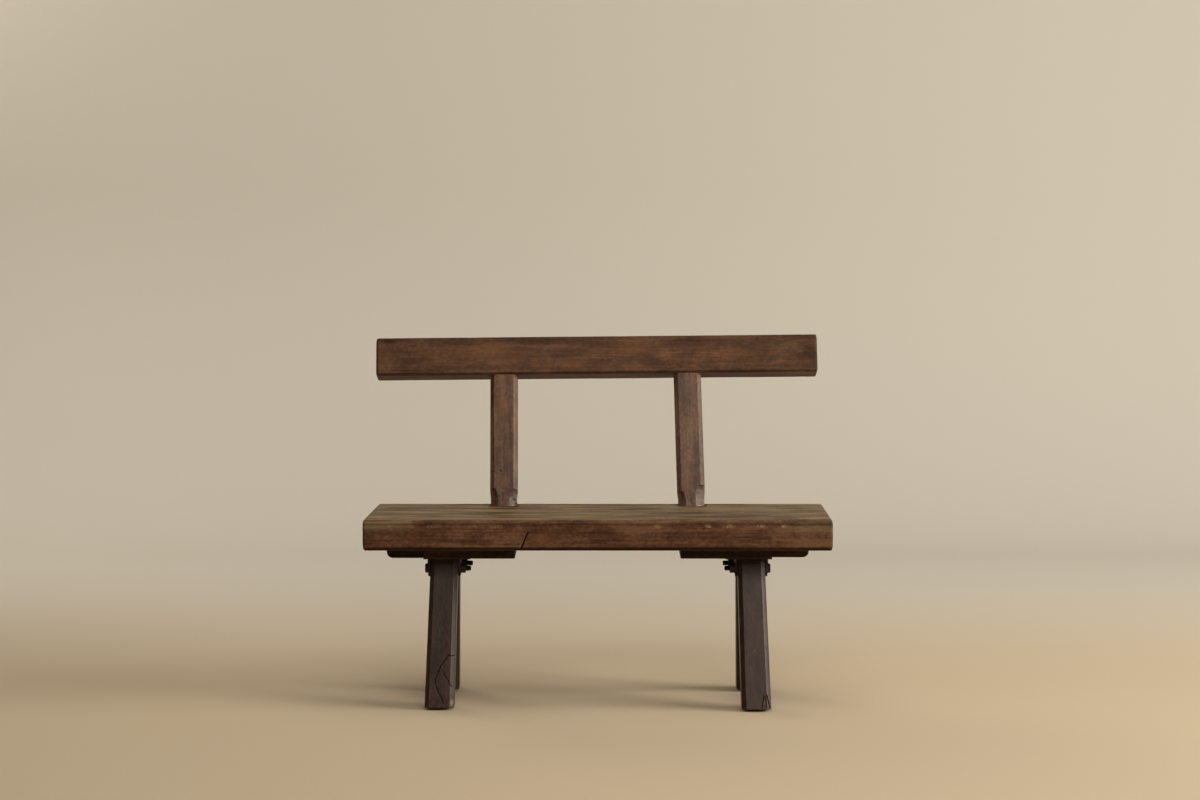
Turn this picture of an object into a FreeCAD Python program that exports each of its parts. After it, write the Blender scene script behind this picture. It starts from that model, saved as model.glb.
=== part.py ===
import FreeCAD, Part
import os

import Sketcher
from FreeCAD import Vector

# A rustic timber bench with a reclined back rail on two posts.
# X runs along the bench, the front faces -Y, the floor is Z = 0.
# Depths in the sheet are measured back from the seat's front edge.

doc = FreeCAD.newDocument("monks_bench")

SIZES = [
    ("front_edge", -236.3, "seat front edge from the middle of the whole depth"),
    ("seat_length", 1082, "seat slab, end to end"),
    ("seat_depth", 352, "seat slab, front to back"),
    ("seat_thick", 72, "seat slab thickness"),
    ("seat_top", 445, "seat height above the floor"),
    ("seat_round", 10, "worn round along the seat's long top edges"),
    ("seat_bevel", 10, "bevel along the seat's lower front and back edges"),
    ("seat_end_round", 3.5, "worn round about each seat end"),
    ("recline", 18, "back leans this far from upright, degrees"),
    ("post_deep", 48, "post, front to back, square to the recline"),
    ("post_wide", 66.5, "post width above the whittled foot"),
    ("post_foot_wide", 63.5, "post width where it enters the seat"),
    ("post_bevel", 10, "bevel on the post's long edges"),
    ("post_foot_in", 14, "whittled corner, measured front to back"),
    ("whittle_low", 22, "whittled corners are full below this height"),
    ("whittle_high", 45, "whittled corners run out at this height"),
    ("post_at", 290, "post front face at the seat top, back from the edge"),
    ("tenon_gap", 1.5, "post tenon stops this far above the seat's underside"),
    ("left_post_x", -225.5, "left post centre at the seat"),
    ("left_post_lean", -0.4, "left post's sideways lean, degrees"),
    ("left_cut_outer", 18, "left post, whittled outer corner width"),
    ("left_cut_inner", 19, "left post, whittled inner corner width"),
    ("right_post_x", 224.8, "right post centre at the seat"),
    ("right_post_lean", -1.44, "right post's sideways lean, degrees"),
    ("right_cut_inner", 18, "right post, whittled inner corner width"),
    ("right_cut_outer", 23, "right post, whittled outer corner width"),
    ("rail_length", 1074.6, "back rail, end to end"),
    ("rail_high", 95, "back rail, along the recline"),
    ("rail_deep", 61, "back rail, front to back"),
    ("rail_x", -2.7, "back rail centre"),
    ("rail_up", 328, "rail underside above the seat, along the recline"),
    ("rail_tilt", 0.55, "rail rises to the right, degrees"),
    ("rail_round", 9, "worn round along the rail"),
    ("rail_end_round", 6, "worn round about each rail end"),
    ("top_tenon_wide", 38, "tenon into the rail, width"),
    ("top_tenon_deep", 24, "tenon into the rail, front to back"),
    ("top_tenon_long", 45, "tenon into the rail, length"),
    ("peg_across", 12, "peg diameter"),
    ("rail_peg_up", 22, "rail peg above the rail's underside"),
    ("rail_peg_long", 46, "rail peg length"),
    ("seat_peg_down", 34, "seat peg below the seat top"),
    ("seat_peg_long", 86, "seat peg length"),
    ("bolt_x", 358.8, "leg centre at its bolt, each side"),
    ("bolt_up", 317, "leg bolt above the floor"),
    ("bolt_row", 47, "leg bolts from the seat's middle, front and back"),
    ("foot_x", 367, "leg centre at the floor, each side"),
    ("foot_row", 126, "foot centres from the seat's middle, front and back"),
    ("long_reach", 20, "the front right foot stands this much further forward"),
    ("leg_top_wide", 64, "leg width at the top"),
    ("leg_foot_wide", 68.5, "leg width at the foot"),
    ("leg_skew", 1.03, "level section of a splayed leg, depth over width"),
    ("leg_bevel", 10, "bevel on the leg's long edges"),
    ("board_inner", 192, "mounting board's inboard end from the middle"),
    ("board_outer", 489.5, "mounting board's outboard end from the middle"),
    ("board_front", 58, "mounting board, back from the seat's front edge"),
    ("board_thick", 25, "mounting board thickness"),
    ("board_round", 15, "round on the board's lower outboard edge"),
    ("plate_inner", 297, "bracket plate's inboard end from the middle"),
    ("plate_outer", 406, "bracket plate's outboard end from the middle"),
    ("plate_deep", 85, "bracket plate, front to back"),
    ("plate_thick", 5, "bracket plate and ear thickness"),
    ("ear_gap", 65.6, "clear width between a bracket's ears"),
    ("ear_deep", 38, "ear width, front to back"),
    ("weld_leg", 3, "weld along the outer foot of each ear"),
    ("bolt_across", 12, "leg bolt diameter"),
    ("bolt_hole", 12.6, "hole for the leg bolt"),
    ("bolt_long", 100, "leg bolt under its head"),
    ("hex_across", 19, "bolt head and nut across flats"),
    ("head_thick", 7.5, "bolt head thickness"),
    ("nut_thick", 10, "nut thickness"),
    ("washer_across", 24, "washer diameter"),
    ("washer_thick", 2, "washer thickness"),
    ("screw_across", 5, "diameter of every wood screw"),
    ("plate_screw_long", 25, "bracket screw length"),
    ("plate_screw_in", 10, "bracket screw from the plate's inboard end"),
    ("plate_screw_row", 28, "bracket screws from the bolt's line"),
    ("board_screw_long", 60, "board screw length"),
    ("board_screw_in", 18, "board screws from the board's ends"),
    ("board_screw_row", 40, "board screws from the board's front and back edges"),
    ("pad_across", 46, "foot pad diameter"),
    ("pad_thick", 5, "foot pad thickness"),
    ("pad_sink", 1.5, "pad screw head below the pad's underside"),
    ("pad_screw_long", 22, "pad screw length"),
]

sheet = doc.addObject("Spreadsheet::Sheet", "Sizes")
for row, (alias, value, note) in enumerate(SIZES, start=1):
    sheet.set(f"A{row}", note)
    sheet.set(f"B{row}", str(value))
    sheet.setAlias(f"B{row}", alias)
doc.recompute()

# Places and lengths that follow from the driving sizes.
SEAT_UNDER = "(Sizes.seat_top - Sizes.seat_thick)"
SEAT_MIDDLE = "(Sizes.front_edge + Sizes.seat_depth / 2)"
BOARD_UNDER = f"({SEAT_UNDER} - Sizes.board_thick)"
PLATE_UNDER = f"({BOARD_UNDER} - Sizes.plate_thick)"
BOARD_DEEP = "(Sizes.seat_depth - 2 * Sizes.board_front)"
EAR_OUT = "(Sizes.bolt_x + Sizes.ear_gap / 2 + Sizes.plate_thick)"
EAR_IN = "(Sizes.bolt_x - Sizes.ear_gap / 2 - Sizes.plate_thick)"


def number(text):
    return float(sheet.evalExpression(text))


def role_plane(body, role):
    for feature in body.Origin.OriginFeatures:
        if feature.Role == role:
            return feature


def new_body(name, place="placement(vector(0; 0; 0); rotation(0; 0; 0))"):
    body = doc.addObject("PartDesign::Body", name)
    body.setExpression("Placement", place)
    return body


def new_sketch(body, name, role, lift="0", across="0", up="0"):
    sketch = body.newObject("Sketcher::SketchObject", name)
    sketch.AttachmentSupport = [(role_plane(body, role), "")]
    sketch.MapMode = "FlatFace"
    sketch.setExpression("AttachmentOffset.Base.x", across)
    sketch.setExpression("AttachmentOffset.Base.y", up)
    sketch.setExpression("AttachmentOffset.Base.z", lift)
    return sketch


def draw_polygon(sketch, corners):
    """Straight edges through corners, each held by two expressions."""
    first = sketch.GeometryCount
    count = len(corners)
    points = [Vector(number(across), number(up), 0) for across, up in corners]
    for index in range(count):
        sketch.addGeometry(Part.LineSegment(points[index], points[(index + 1) % count]))
    for index in range(count):
        after = first + (index + 1) % count
        sketch.addConstraint(Sketcher.Constraint("Coincident", first + index, 2, after, 1))
    for index, corner in enumerate(corners):
        hold_point(sketch, first + index, 1, corner)


def draw_circle(sketch, centre, diameter):
    middle = Vector(number(centre[0]), number(centre[1]), 0)
    ring = sketch.addGeometry(Part.Circle(middle, Vector(0, 0, 1), number(diameter) / 2))
    hold_point(sketch, ring, 3, centre)
    held = sketch.addConstraint(Sketcher.Constraint("Diameter", ring, number(diameter)))
    sketch.setExpression(f"Constraints[{held}]", diameter)


def hold_point(sketch, geometry, end, place):
    for kind, text in zip(("DistanceX", "DistanceY"), place):
        held = sketch.addConstraint(Sketcher.Constraint(kind, -1, 1, geometry, end, number(text)))
        sketch.setExpression(f"Constraints[{held}]", text)


def rectangle(low_x, low_y, high_x, high_y):
    return [(low_x, low_y), (high_x, low_y), (high_x, high_y), (low_x, high_y)]


def extrude(body, kind, name, sketch, length, side="One side", reverse=False):
    """Pad or pocket one sketch, and see that it really changes the body."""
    doc.recompute()
    before = body.Shape.Volume if body.Tip else 0.0
    feature = body.newObject(f"PartDesign::{kind}", name)
    feature.Profile = sketch
    feature.SideType = side
    feature.Reversed = reverse
    feature.setExpression("Length", length)
    sketch.Visibility = False
    doc.recompute()
    change = body.Shape.Volume - before
    if (kind == "Pad") != (change > 0.01):
        raise RuntimeError(f"{name} changes its body by {change:.2f}")
    return feature


def dress(body, kind, name, test, size):
    """Round or bevel the edges of the body's tip that pass a test."""
    base = body.Tip
    names = [f"Edge{index}" for index, edge in enumerate(base.Shape.Edges, start=1) if test(edge)]
    feature = body.newObject(f"PartDesign::{kind}", name)
    feature.Base = (base, names)
    feature.setExpression("Radius" if kind == "Fillet" else "Size", size)
    doc.recompute()
    return feature


def runs_along(edge, axis):
    """Whether an edge is straight and runs along an axis (0, 1 or 2)."""
    if not isinstance(edge.Curve, Part.Line):
        return False
    return abs(edge.Curve.Direction[axis]) > 0.999


def lies_at(edge, axis, value):
    """Whether all of an edge lies in the plane at a value along an axis."""
    low = (edge.BoundBox.XMin, edge.BoundBox.YMin, edge.BoundBox.ZMin)[axis]
    high = (edge.BoundBox.XMax, edge.BoundBox.YMax, edge.BoundBox.ZMax)[axis]
    return abs(low - value) < 0.01 and abs(high - value) < 0.01


def cut_by(label, base, tools):
    """A piece whose joints are cut with the very pieces that enter it."""
    group = doc.addObject("Part::Compound", f"{label}_joints")
    group.Links = tools
    piece = doc.addObject("Part::Cut", label)
    piece.Base = base
    piece.Tool = group
    piece.Label = label
    return piece


def group_of(label, master, places):
    """Like fasteners, one solid at each place, under one label."""
    copies = []
    for index, place in enumerate(places, start=1):
        copy = doc.addObject("App::Link", f"{label}_{index}")
        copy.LinkedObject = master
        copy.setExpression("Placement", place)
        copies.append(copy)
    group = doc.addObject("Part::Compound", label)
    group.Links = copies
    group.Label = label
    return group


def back_place(across, along, lean):
    """A frame on the reclined plane of the back, leaning sideways by lean degrees."""
    return (
        f"placement(vector({across};"
        f" Sizes.front_edge + Sizes.post_at + ({along}) * sin(Sizes.recline * 1 deg);"
        f" Sizes.seat_top + ({along}) * cos(Sizes.recline * 1 deg));"
        f" rotation(vector(1; 0; 0); -Sizes.recline) * rotation(vector(0; 1; 0); {lean}))"
    )


def seat_blank():
    """The slab before its mortises, with worn long edges and ends."""
    body = new_body("seat_blank", f"placement(vector(0; Sizes.front_edge; {SEAT_UNDER}); rotation(0; 0; 0))")
    half = "Sizes.seat_length / 2"
    plan = new_sketch(body, "seat_plan", "XY_Plane")
    draw_polygon(plan, rectangle(f"-{half}", "0", half, "Sizes.seat_depth"))
    extrude(body, "Pad", "seat_pad", plan, "Sizes.seat_thick")
    top = number("Sizes.seat_thick")
    end = number(half)
    dress(body, "Chamfer", "seat_lower_bevels",
          lambda edge: runs_along(edge, 0) and lies_at(edge, 2, 0), "Sizes.seat_bevel")
    dress(body, "Fillet", "seat_upper_rounds",
          lambda edge: runs_along(edge, 0) and lies_at(edge, 2, top), "Sizes.seat_round")
    dress(body, "Fillet", "seat_end_rounds",
          lambda edge: lies_at(edge, 0, end) or lies_at(edge, 0, -end), "Sizes.seat_end_round")
    return body


def bevelled(width, depth, left, right, inward):
    """Corners of a post's or leg's section, its front face on the X axis."""
    half = f"({width}) / 2"
    return [
        (f"-{half} + {left}", "0"), (f"{half} - {right}", "0"),
        (half, inward), (half, f"{depth} - {inward}"),
        (f"{half} - {right}", depth), (f"-{half} + {left}", depth),
        (f"-{half}", f"{depth} - {inward}"), (f"-{half}", inward),
    ]


def post_blank(side, cut_left, cut_right):
    """One back post: tenon below, whittled foot, bevelled shaft, tenon above."""
    name = f"{side}_post"
    lean = f"Sizes.{side}_post_lean"
    foot_x = f"Sizes.{side}_post_x"
    body = new_body(f"{name}_blank", back_place(foot_x, "0", lean))
    climb = "tan(Sizes.rail_tilt * 1 deg)"
    shaft = (
        f"((Sizes.rail_up + ({foot_x} - Sizes.rail_x) * {climb})"
        f" / (cos({lean} * 1 deg) - sin({lean} * 1 deg) * {climb}))"
    )
    sink = "(Sizes.seat_thick / cos(Sizes.recline * 1 deg))"
    foot = bevelled("Sizes.post_foot_wide", "Sizes.post_deep", cut_left, cut_right, "Sizes.post_foot_in")
    upper = bevelled("Sizes.post_wide", "Sizes.post_deep",
                     "Sizes.post_bevel", "Sizes.post_bevel", "Sizes.post_bevel")

    tenon = new_sketch(body, f"{name}_tenon_section", "XY_Plane", f"-{sink}")
    draw_polygon(tenon, foot)
    extrude(body, "Pad", f"{name}_foot", tenon, f"{sink} + Sizes.whittle_low")

    low = new_sketch(body, f"{name}_whittle_low", "XY_Plane", "Sizes.whittle_low")
    draw_polygon(low, foot)
    high = new_sketch(body, f"{name}_whittle_high", "XY_Plane", "Sizes.whittle_high")
    draw_polygon(high, upper)
    scoop = body.newObject("PartDesign::AdditiveLoft", f"{name}_whittle")
    scoop.Profile = low
    scoop.Sections = [high]
    scoop.Ruled = True

    straight = new_sketch(body, f"{name}_shaft_section", "XY_Plane", "Sizes.whittle_high")
    draw_polygon(straight, upper)
    extrude(body, "Pad", f"{name}_shaft", straight, f"{shaft} + 10 - Sizes.whittle_high")

    # The shaft's shoulder follows the rail's tilted underside.
    slope = f"tan((Sizes.rail_tilt + {lean}) * 1 deg)"
    shoulder = new_sketch(body, f"{name}_shoulder", "XZ_Plane")
    draw_polygon(shoulder, [("-60", f"{shaft} - 60 * {slope}"), ("60", f"{shaft} + 60 * {slope}"),
                            ("60", f"{shaft} + 60"), ("-60", f"{shaft} + 60")])
    extrude(body, "Pocket", f"{name}_shoulder_cut", shoulder, "200", "Symmetric")

    # The lower tenon stops just inside the seat's level underside.
    fall = "tan(Sizes.recline * 1 deg)"
    level = f"(-{sink} + Sizes.tenon_gap)"
    end_cut = new_sketch(body, f"{name}_tenon_end", "YZ_Plane")
    draw_polygon(end_cut, [("-20", f"{level} - 20 * {fall}"), ("80", f"{level} + 80 * {fall}"),
                           ("80", f"{level} - 60"), ("-20", f"{level} - 60")])
    extrude(body, "Pocket", f"{name}_tenon_end_cut", end_cut, "200", "Symmetric")

    half_wide = "Sizes.top_tenon_wide / 2"
    nearer = "(Sizes.post_deep - Sizes.top_tenon_deep) / 2"
    further = "(Sizes.post_deep + Sizes.top_tenon_deep) / 2"
    top = new_sketch(body, f"{name}_top_tenon_section", "XY_Plane", f"{shaft} - 10")
    draw_polygon(top, rectangle(f"-{half_wide}", nearer, half_wide, further))
    extrude(body, "Pad", f"{name}_top_tenon", top, "Sizes.top_tenon_long + 10")
    return body


def rail_blank():
    """The beam of the back before its mortises, rounded along its length and ends."""
    body = new_body("rail_blank", back_place("Sizes.rail_x", "Sizes.rail_up", "-Sizes.rail_tilt"))
    section = new_sketch(body, "rail_section", "YZ_Plane")
    draw_polygon(section, rectangle("0", "0", "Sizes.rail_deep", "Sizes.rail_high"))
    extrude(body, "Pad", "rail_pad", section, "Sizes.rail_length", "Symmetric")
    end = number("Sizes.rail_length / 2")
    dress(body, "Fillet", "rail_long_rounds", lambda edge: runs_along(edge, 0), "Sizes.rail_round")
    dress(body, "Fillet", "rail_end_rounds",
          lambda edge: lies_at(edge, 0, end) or lies_at(edge, 0, -end), "Sizes.rail_end_round")
    return body


def peg(name, length, place):
    """A round wooden peg, its axis running back from its blind end."""
    pin = doc.addObject("Part::Cylinder", name)
    pin.setExpression("Radius", "Sizes.peg_across / 2")
    pin.setExpression("Height", length)
    pin.setExpression("Placement", place)
    return pin


def leg(name, side, end, reach):
    """One splayed leg, level at the floor pad and under the bracket plate."""
    rise = "(Sizes.bolt_up - Sizes.pad_thick)"
    foot_row = f"(Sizes.foot_row + {reach})"
    above = f"({PLATE_UNDER} - Sizes.bolt_up)"
    spread = f"((Sizes.foot_x - Sizes.bolt_x) / {rise})"
    splay = f"(({foot_row} - Sizes.bolt_row) / {rise})"
    body = new_body(name, (
        f"placement(vector({side} * Sizes.bolt_x; {SEAT_MIDDLE} + {end} * Sizes.bolt_row;"
        " Sizes.bolt_up); rotation(0; 0; 0))"
    ))
    body.Label = name
    levels = [("foot", f"-{rise}", "Sizes.leg_foot_wide"), ("top", above, "Sizes.leg_top_wide")]
    sketches = []
    for level, lift, width in levels:
        section = new_sketch(body, f"{name}_{level}", "XY_Plane", lift,
                             f"-{side} * {spread} * {lift}",
                             f"-{end} * {splay} * {lift} - {width} * Sizes.leg_skew / 2")
        draw_polygon(section, bevelled(width, f"{width} * Sizes.leg_skew",
                                       "Sizes.leg_bevel", "Sizes.leg_bevel", "Sizes.leg_bevel"))
        sketches.append(section)
    loft = body.newObject("PartDesign::AdditiveLoft", f"{name}_loft")
    loft.Profile = sketches[0]
    loft.Sections = [sketches[1]]
    loft.Ruled = True
    doc.recompute()
    bore = new_sketch(body, f"{name}_bolt_hole", "YZ_Plane")
    draw_circle(bore, ("0", "0"), "Sizes.bolt_hole")
    extrude(body, "Pocket", f"{name}_bolt_bore", bore, "200", "Symmetric")
    pilot = new_sketch(body, f"{name}_pad_pilot", "XY_Plane", f"-{rise}")
    draw_circle(pilot, (f"{side} * (Sizes.foot_x - Sizes.bolt_x)", f"{end} * ({foot_row} - Sizes.bolt_row)"),
                "Sizes.screw_across")
    extrude(body, "Pocket", f"{name}_pad_bore", pilot, "Sizes.pad_screw_long", reverse=True)
    return body


def board_blank(name, side):
    """A mounting board under the seat, rounded at its lower outboard edge."""
    body = new_body(name, (
        f"placement(vector(0; Sizes.front_edge + Sizes.board_front; {BOARD_UNDER}); rotation(0; 0; 0))"
    ))
    plan = new_sketch(body, f"{name}_plan", "XY_Plane")
    draw_polygon(plan, rectangle(f"{side} * Sizes.board_inner", "0", f"{side} * Sizes.board_outer", BOARD_DEEP))
    extrude(body, "Pad", f"{name}_pad", plan, "Sizes.board_thick")
    outer = number(f"{side} * Sizes.board_outer")
    dress(body, "Fillet", f"{name}_round",
          lambda edge: lies_at(edge, 0, outer) and lies_at(edge, 2, 0), "Sizes.board_round")
    return body


def bracket_blank(name, side, end):
    """A steel plate with two ears that clasp the leg, welded along their outer feet."""
    body = new_body(name, (
        f"placement(vector(0; {SEAT_MIDDLE} + {end} * Sizes.bolt_row; {PLATE_UNDER}); rotation(0; 0; 0))"
    ))
    plate = new_sketch(body, f"{name}_plate_plan", "XY_Plane")
    draw_polygon(plate, rectangle(f"{side} * Sizes.plate_inner", "-Sizes.plate_deep / 2",
                                  f"{side} * Sizes.plate_outer", "Sizes.plate_deep / 2"))
    extrude(body, "Pad", f"{name}_plate", plate, "Sizes.plate_thick")
    drop = f"({PLATE_UNDER} - Sizes.bolt_up + Sizes.ear_deep / 2)"
    half = "Sizes.ear_deep / 2"
    for ear, start in (("outer", EAR_OUT), ("inner", f"({EAR_IN} + Sizes.plate_thick)")):
        profile = new_sketch(body, f"{name}_{ear}_ear_profile", "YZ_Plane",
                             f"{side} * {start} - (1 + {side}) / 2 * Sizes.plate_thick")
        draw_polygon(profile, rectangle(f"-{half}", f"-{drop}", half, "1"))
        extrude(body, "Pad", f"{name}_{ear}_ear", profile, "Sizes.plate_thick")
    low = number(f"-{drop}")
    dress(body, "Fillet", f"{name}_ear_rounds",
          lambda edge: runs_along(edge, 0) and lies_at(edge, 2, low), "Sizes.ear_deep / 2 - 0.1")
    seam = new_sketch(body, f"{name}_weld_section", "XZ_Plane")
    for place, away in ((EAR_OUT, "1"), (EAR_IN, "-1")):
        draw_polygon(seam, [(f"{side} * {place}", "0"), (f"{side} * ({place} + {away} * Sizes.weld_leg)", "0"),
                            (f"{side} * {place}", "-Sizes.weld_leg")])
    extrude(body, "Pad", f"{name}_welds", seam, "Sizes.ear_deep", "Symmetric")
    bore = new_sketch(body, f"{name}_bolt_holes", "YZ_Plane")
    draw_circle(bore, ("0", f"Sizes.bolt_up - {PLATE_UNDER}"), "Sizes.bolt_hole")
    extrude(body, "Pocket", f"{name}_bolt_bore", bore, "1000", "Symmetric")
    return body


def plain_screw(name, diameter, length):
    """A countersunk screw standing on its head, before its recess is cut."""
    body = new_body(name)
    radius = f"{diameter} / 2"
    profile = new_sketch(body, f"{name}_profile", "XZ_Plane")
    draw_polygon(profile, [("0", "0"), (diameter, "0"), (radius, radius),
                           (radius, f"{length} - {diameter}"), ("0", length)])
    turned = body.newObject("PartDesign::Revolution", f"{name}_turned")
    turned.Profile = profile
    turned.ReferenceAxis = (profile, ["V_Axis"])
    turned.Angle = 360
    return body


def wood_screw(name, plain, diameter):
    """The same screw with a cross recess in its head."""
    recess = new_body(f"{name}_recess")
    cross = new_sketch(recess, f"{name}_recess_plan", "XY_Plane")
    arm = f"{diameter} * 0.5"
    thin = f"{diameter} * 0.11"
    draw_polygon(cross, [(arm, f"-{thin}"), (arm, thin), (thin, thin), (thin, arm), (f"-{thin}", arm),
                         (f"-{thin}", thin), (f"-{arm}", thin), (f"-{arm}", f"-{thin}"),
                         (f"-{thin}", f"-{thin}"), (f"-{thin}", f"-{arm}"), (thin, f"-{arm}"),
                         (thin, f"-{thin}")])
    extrude(recess, "Pad", f"{name}_recess_pad", cross, f"{diameter} * 0.35")
    screw = doc.addObject("Part::Cut", name)
    screw.Base = plain
    screw.Tool = recess
    return screw


def hexagon(name, height, low, rounded):
    """A hexagon along Z from low, its end corners turned to a 30 degree bevel."""
    prism = doc.addObject("Part::Prism", f"{name}_prism")
    prism.Polygon = 6
    prism.setExpression("Circumradius", "Sizes.hex_across / sqrt(3)")
    prism.setExpression("Height", height)
    prism.setExpression("Placement.Base.z", low)
    parts = [prism]
    for end in rounded:
        cone = doc.addObject("Part::Cone", f"{name}_cone_{len(parts)}")
        narrow = "Sizes.hex_across * 0.48"
        wide = f"({narrow} + ({height}) / tan(30 deg))"
        cone.setExpression("Radius1", narrow if end == "low" else wide)
        cone.setExpression("Radius2", wide if end == "low" else narrow)
        cone.setExpression("Height", height)
        cone.setExpression("Placement.Base.z", low)
        parts.append(cone)
    common = doc.addObject("Part::MultiCommon", f"{name}_hexagon")
    common.Shapes = parts
    return common


def tube(name, outer, inner, height):
    """A ring along Z from its origin."""
    ring = doc.addObject("Part::Cut", name)
    for part, radius in (("Base", outer), ("Tool", inner)):
        cylinder = doc.addObject("Part::Cylinder", f"{name}_{part.lower()}")
        cylinder.setExpression("Radius", f"({radius}) / 2")
        cylinder.setExpression("Height", height)
        setattr(ring, part, cylinder)
    return ring


def bolt_master():
    """A hex bolt along Z, its head below the origin and its end bevelled."""
    head = hexagon("bolt_head", "Sizes.head_thick", "-Sizes.head_thick", ["low"])
    shank = doc.addObject("Part::Cylinder", "bolt_shank")
    shank.setExpression("Radius", "Sizes.bolt_across / 2")
    shank.setExpression("Height", "Sizes.bolt_long - 1.5")
    tip = doc.addObject("Part::Cone", "bolt_tip")
    tip.setExpression("Radius1", "Sizes.bolt_across / 2")
    tip.setExpression("Radius2", "Sizes.bolt_across / 2 - 1.2")
    tip.Height = 1.5
    tip.setExpression("Placement.Base.z", "Sizes.bolt_long - 1.5")
    whole = doc.addObject("Part::MultiFuse", "bolt_master")
    whole.Shapes = [head, shank, tip]
    return whole


def nut_master():
    """A hex nut along Z from its origin, bevelled at both ends."""
    outside = hexagon("nut", "Sizes.nut_thick", "0", ["low", "high"])
    bore = doc.addObject("Part::Cylinder", "nut_bore")
    bore.setExpression("Radius", "Sizes.bolt_across / 2")
    bore.setExpression("Height", "Sizes.nut_thick")
    nut = doc.addObject("Part::Cut", "nut_master")
    nut.Base = outside
    nut.Tool = bore
    return nut


def pad_blank(name, side, end, reach):
    """A round foot pad with a stepped hole for its screw."""
    body = new_body(name, (
        f"placement(vector({side} * Sizes.foot_x; {SEAT_MIDDLE} + {end} * (Sizes.foot_row + {reach}); 0);"
        " rotation(0; 0; 0))"
    ))
    body.Label = name
    plan = new_sketch(body, f"{name}_plan", "XY_Plane")
    draw_circle(plan, ("0", "0"), "Sizes.pad_across")
    extrude(body, "Pad", f"{name}_disc", plan, "Sizes.pad_thick")
    dress(body, "Chamfer", f"{name}_bevel", lambda edge: lies_at(edge, 2, 0), "0.8")
    well = new_sketch(body, f"{name}_well", "XY_Plane")
    draw_circle(well, ("0", "0"), "2 * Sizes.screw_across")
    extrude(body, "Pocket", f"{name}_well_cut", well, "Sizes.pad_sink", reverse=True)
    return body


# The four corners: the name, which side along X, which end along Y, and extra reach.
CORNERS = [
    ("front_left", "-1", "-1", "0"),
    ("front_right", "1", "-1", "Sizes.long_reach"),
    ("rear_left", "-1", "1", "0"),
    ("rear_right", "1", "1", "0"),
]
SIDES = [("left", "-1"), ("right", "1")]

posts = {
    "left": post_blank("left", "Sizes.left_cut_outer", "Sizes.left_cut_inner"),
    "right": post_blank("right", "Sizes.right_cut_inner", "Sizes.right_cut_outer"),
}
slab = seat_blank()
beam = rail_blank()

# Pegs: two run forward through the seat's back edge and the posts' lower
# tenons, two run forward through the rail and the posts' upper tenons.
seat_pegs = []
rail_pegs = []
for side, _ in SIDES:
    seat_pegs.append(peg(f"{side}_seat_peg", "Sizes.seat_peg_long", (
        f"placement(vector(Sizes.{side}_post_x;"
        " Sizes.front_edge + Sizes.seat_depth - Sizes.seat_peg_long;"
        " Sizes.seat_top - Sizes.seat_peg_down); rotation(vector(1; 0; 0); -90))"
    )))
    rise = "(Sizes.rail_up + Sizes.rail_peg_up)"
    across = f"(Sizes.{side}_post_x + {rise} * sin(Sizes.{side}_post_lean * 1 deg))"
    start = "(Sizes.rail_deep - Sizes.rail_peg_long)"
    rail_pegs.append(peg(f"{side}_rail_peg", "Sizes.rail_peg_long", (
        f"placement(vector({across}; Sizes.front_edge + Sizes.post_at"
        f" + {rise} * sin(Sizes.recline * 1 deg) + {start} * cos(Sizes.recline * 1 deg);"
        f" Sizes.seat_top + {rise} * cos(Sizes.recline * 1 deg) - {start} * sin(Sizes.recline * 1 deg));"
        " rotation(vector(1; 0; 0); -90 - Sizes.recline))"
    )))
seat_peg_group = doc.addObject("Part::Compound", "seat_pegs")
seat_peg_group.Links = seat_pegs
rail_peg_group = doc.addObject("Part::Compound", "rail_pegs")
rail_peg_group.Links = rail_pegs

# Countersunk screws point up into the timber.
board_spots = []
for _, side in SIDES:
    for edge, inset in (("Sizes.board_inner", "1"), ("Sizes.board_outer", "-1")):
        for base, step in (("Sizes.board_front", "1"), (f"(Sizes.seat_depth - Sizes.board_front)", "-1")):
            board_spots.append(
                f"placement(vector({side} * ({edge} + {inset} * Sizes.board_screw_in);"
                f" Sizes.front_edge + {base} + {step} * Sizes.board_screw_row; {BOARD_UNDER});"
                " rotation(0; 0; 0))"
            )

plate_spots = []
for _, side, end, _ in CORNERS:
    for across in ("Sizes.plate_inner + Sizes.plate_screw_in", "Sizes.bolt_x + 18"):
        for step in ("-1", "1"):
            plate_spots.append(
                f"placement(vector({side} * ({across}); {SEAT_MIDDLE} + {end} * Sizes.bolt_row"
                f" + {step} * Sizes.plate_screw_row; {PLATE_UNDER}); rotation(0; 0; 0))"
            )

pad_spots = [
    f"placement(vector({side} * Sizes.foot_x; {SEAT_MIDDLE} + {end} * (Sizes.foot_row + {reach});"
    " Sizes.pad_sink); rotation(0; 0; 0))"
    for _, side, end, reach in CORNERS
]

# The plain screws cut the holes, and the recessed ones are the pieces.
screw_holes = {}
for use, length, spots in (
    ("board", "Sizes.board_screw_long", board_spots),
    ("bracket", "Sizes.plate_screw_long", plate_spots),
    ("pad", "Sizes.pad_screw_long", pad_spots),
):
    plain = plain_screw(f"{use}_screw_plain", "Sizes.screw_across", length)
    screw_holes[use] = group_of(f"{use}_screw_holes", plain, spots)
    group_of(f"{use}_screws", wood_screw(f"{use}_screw_master", plain, "Sizes.screw_across"), spots)

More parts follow.
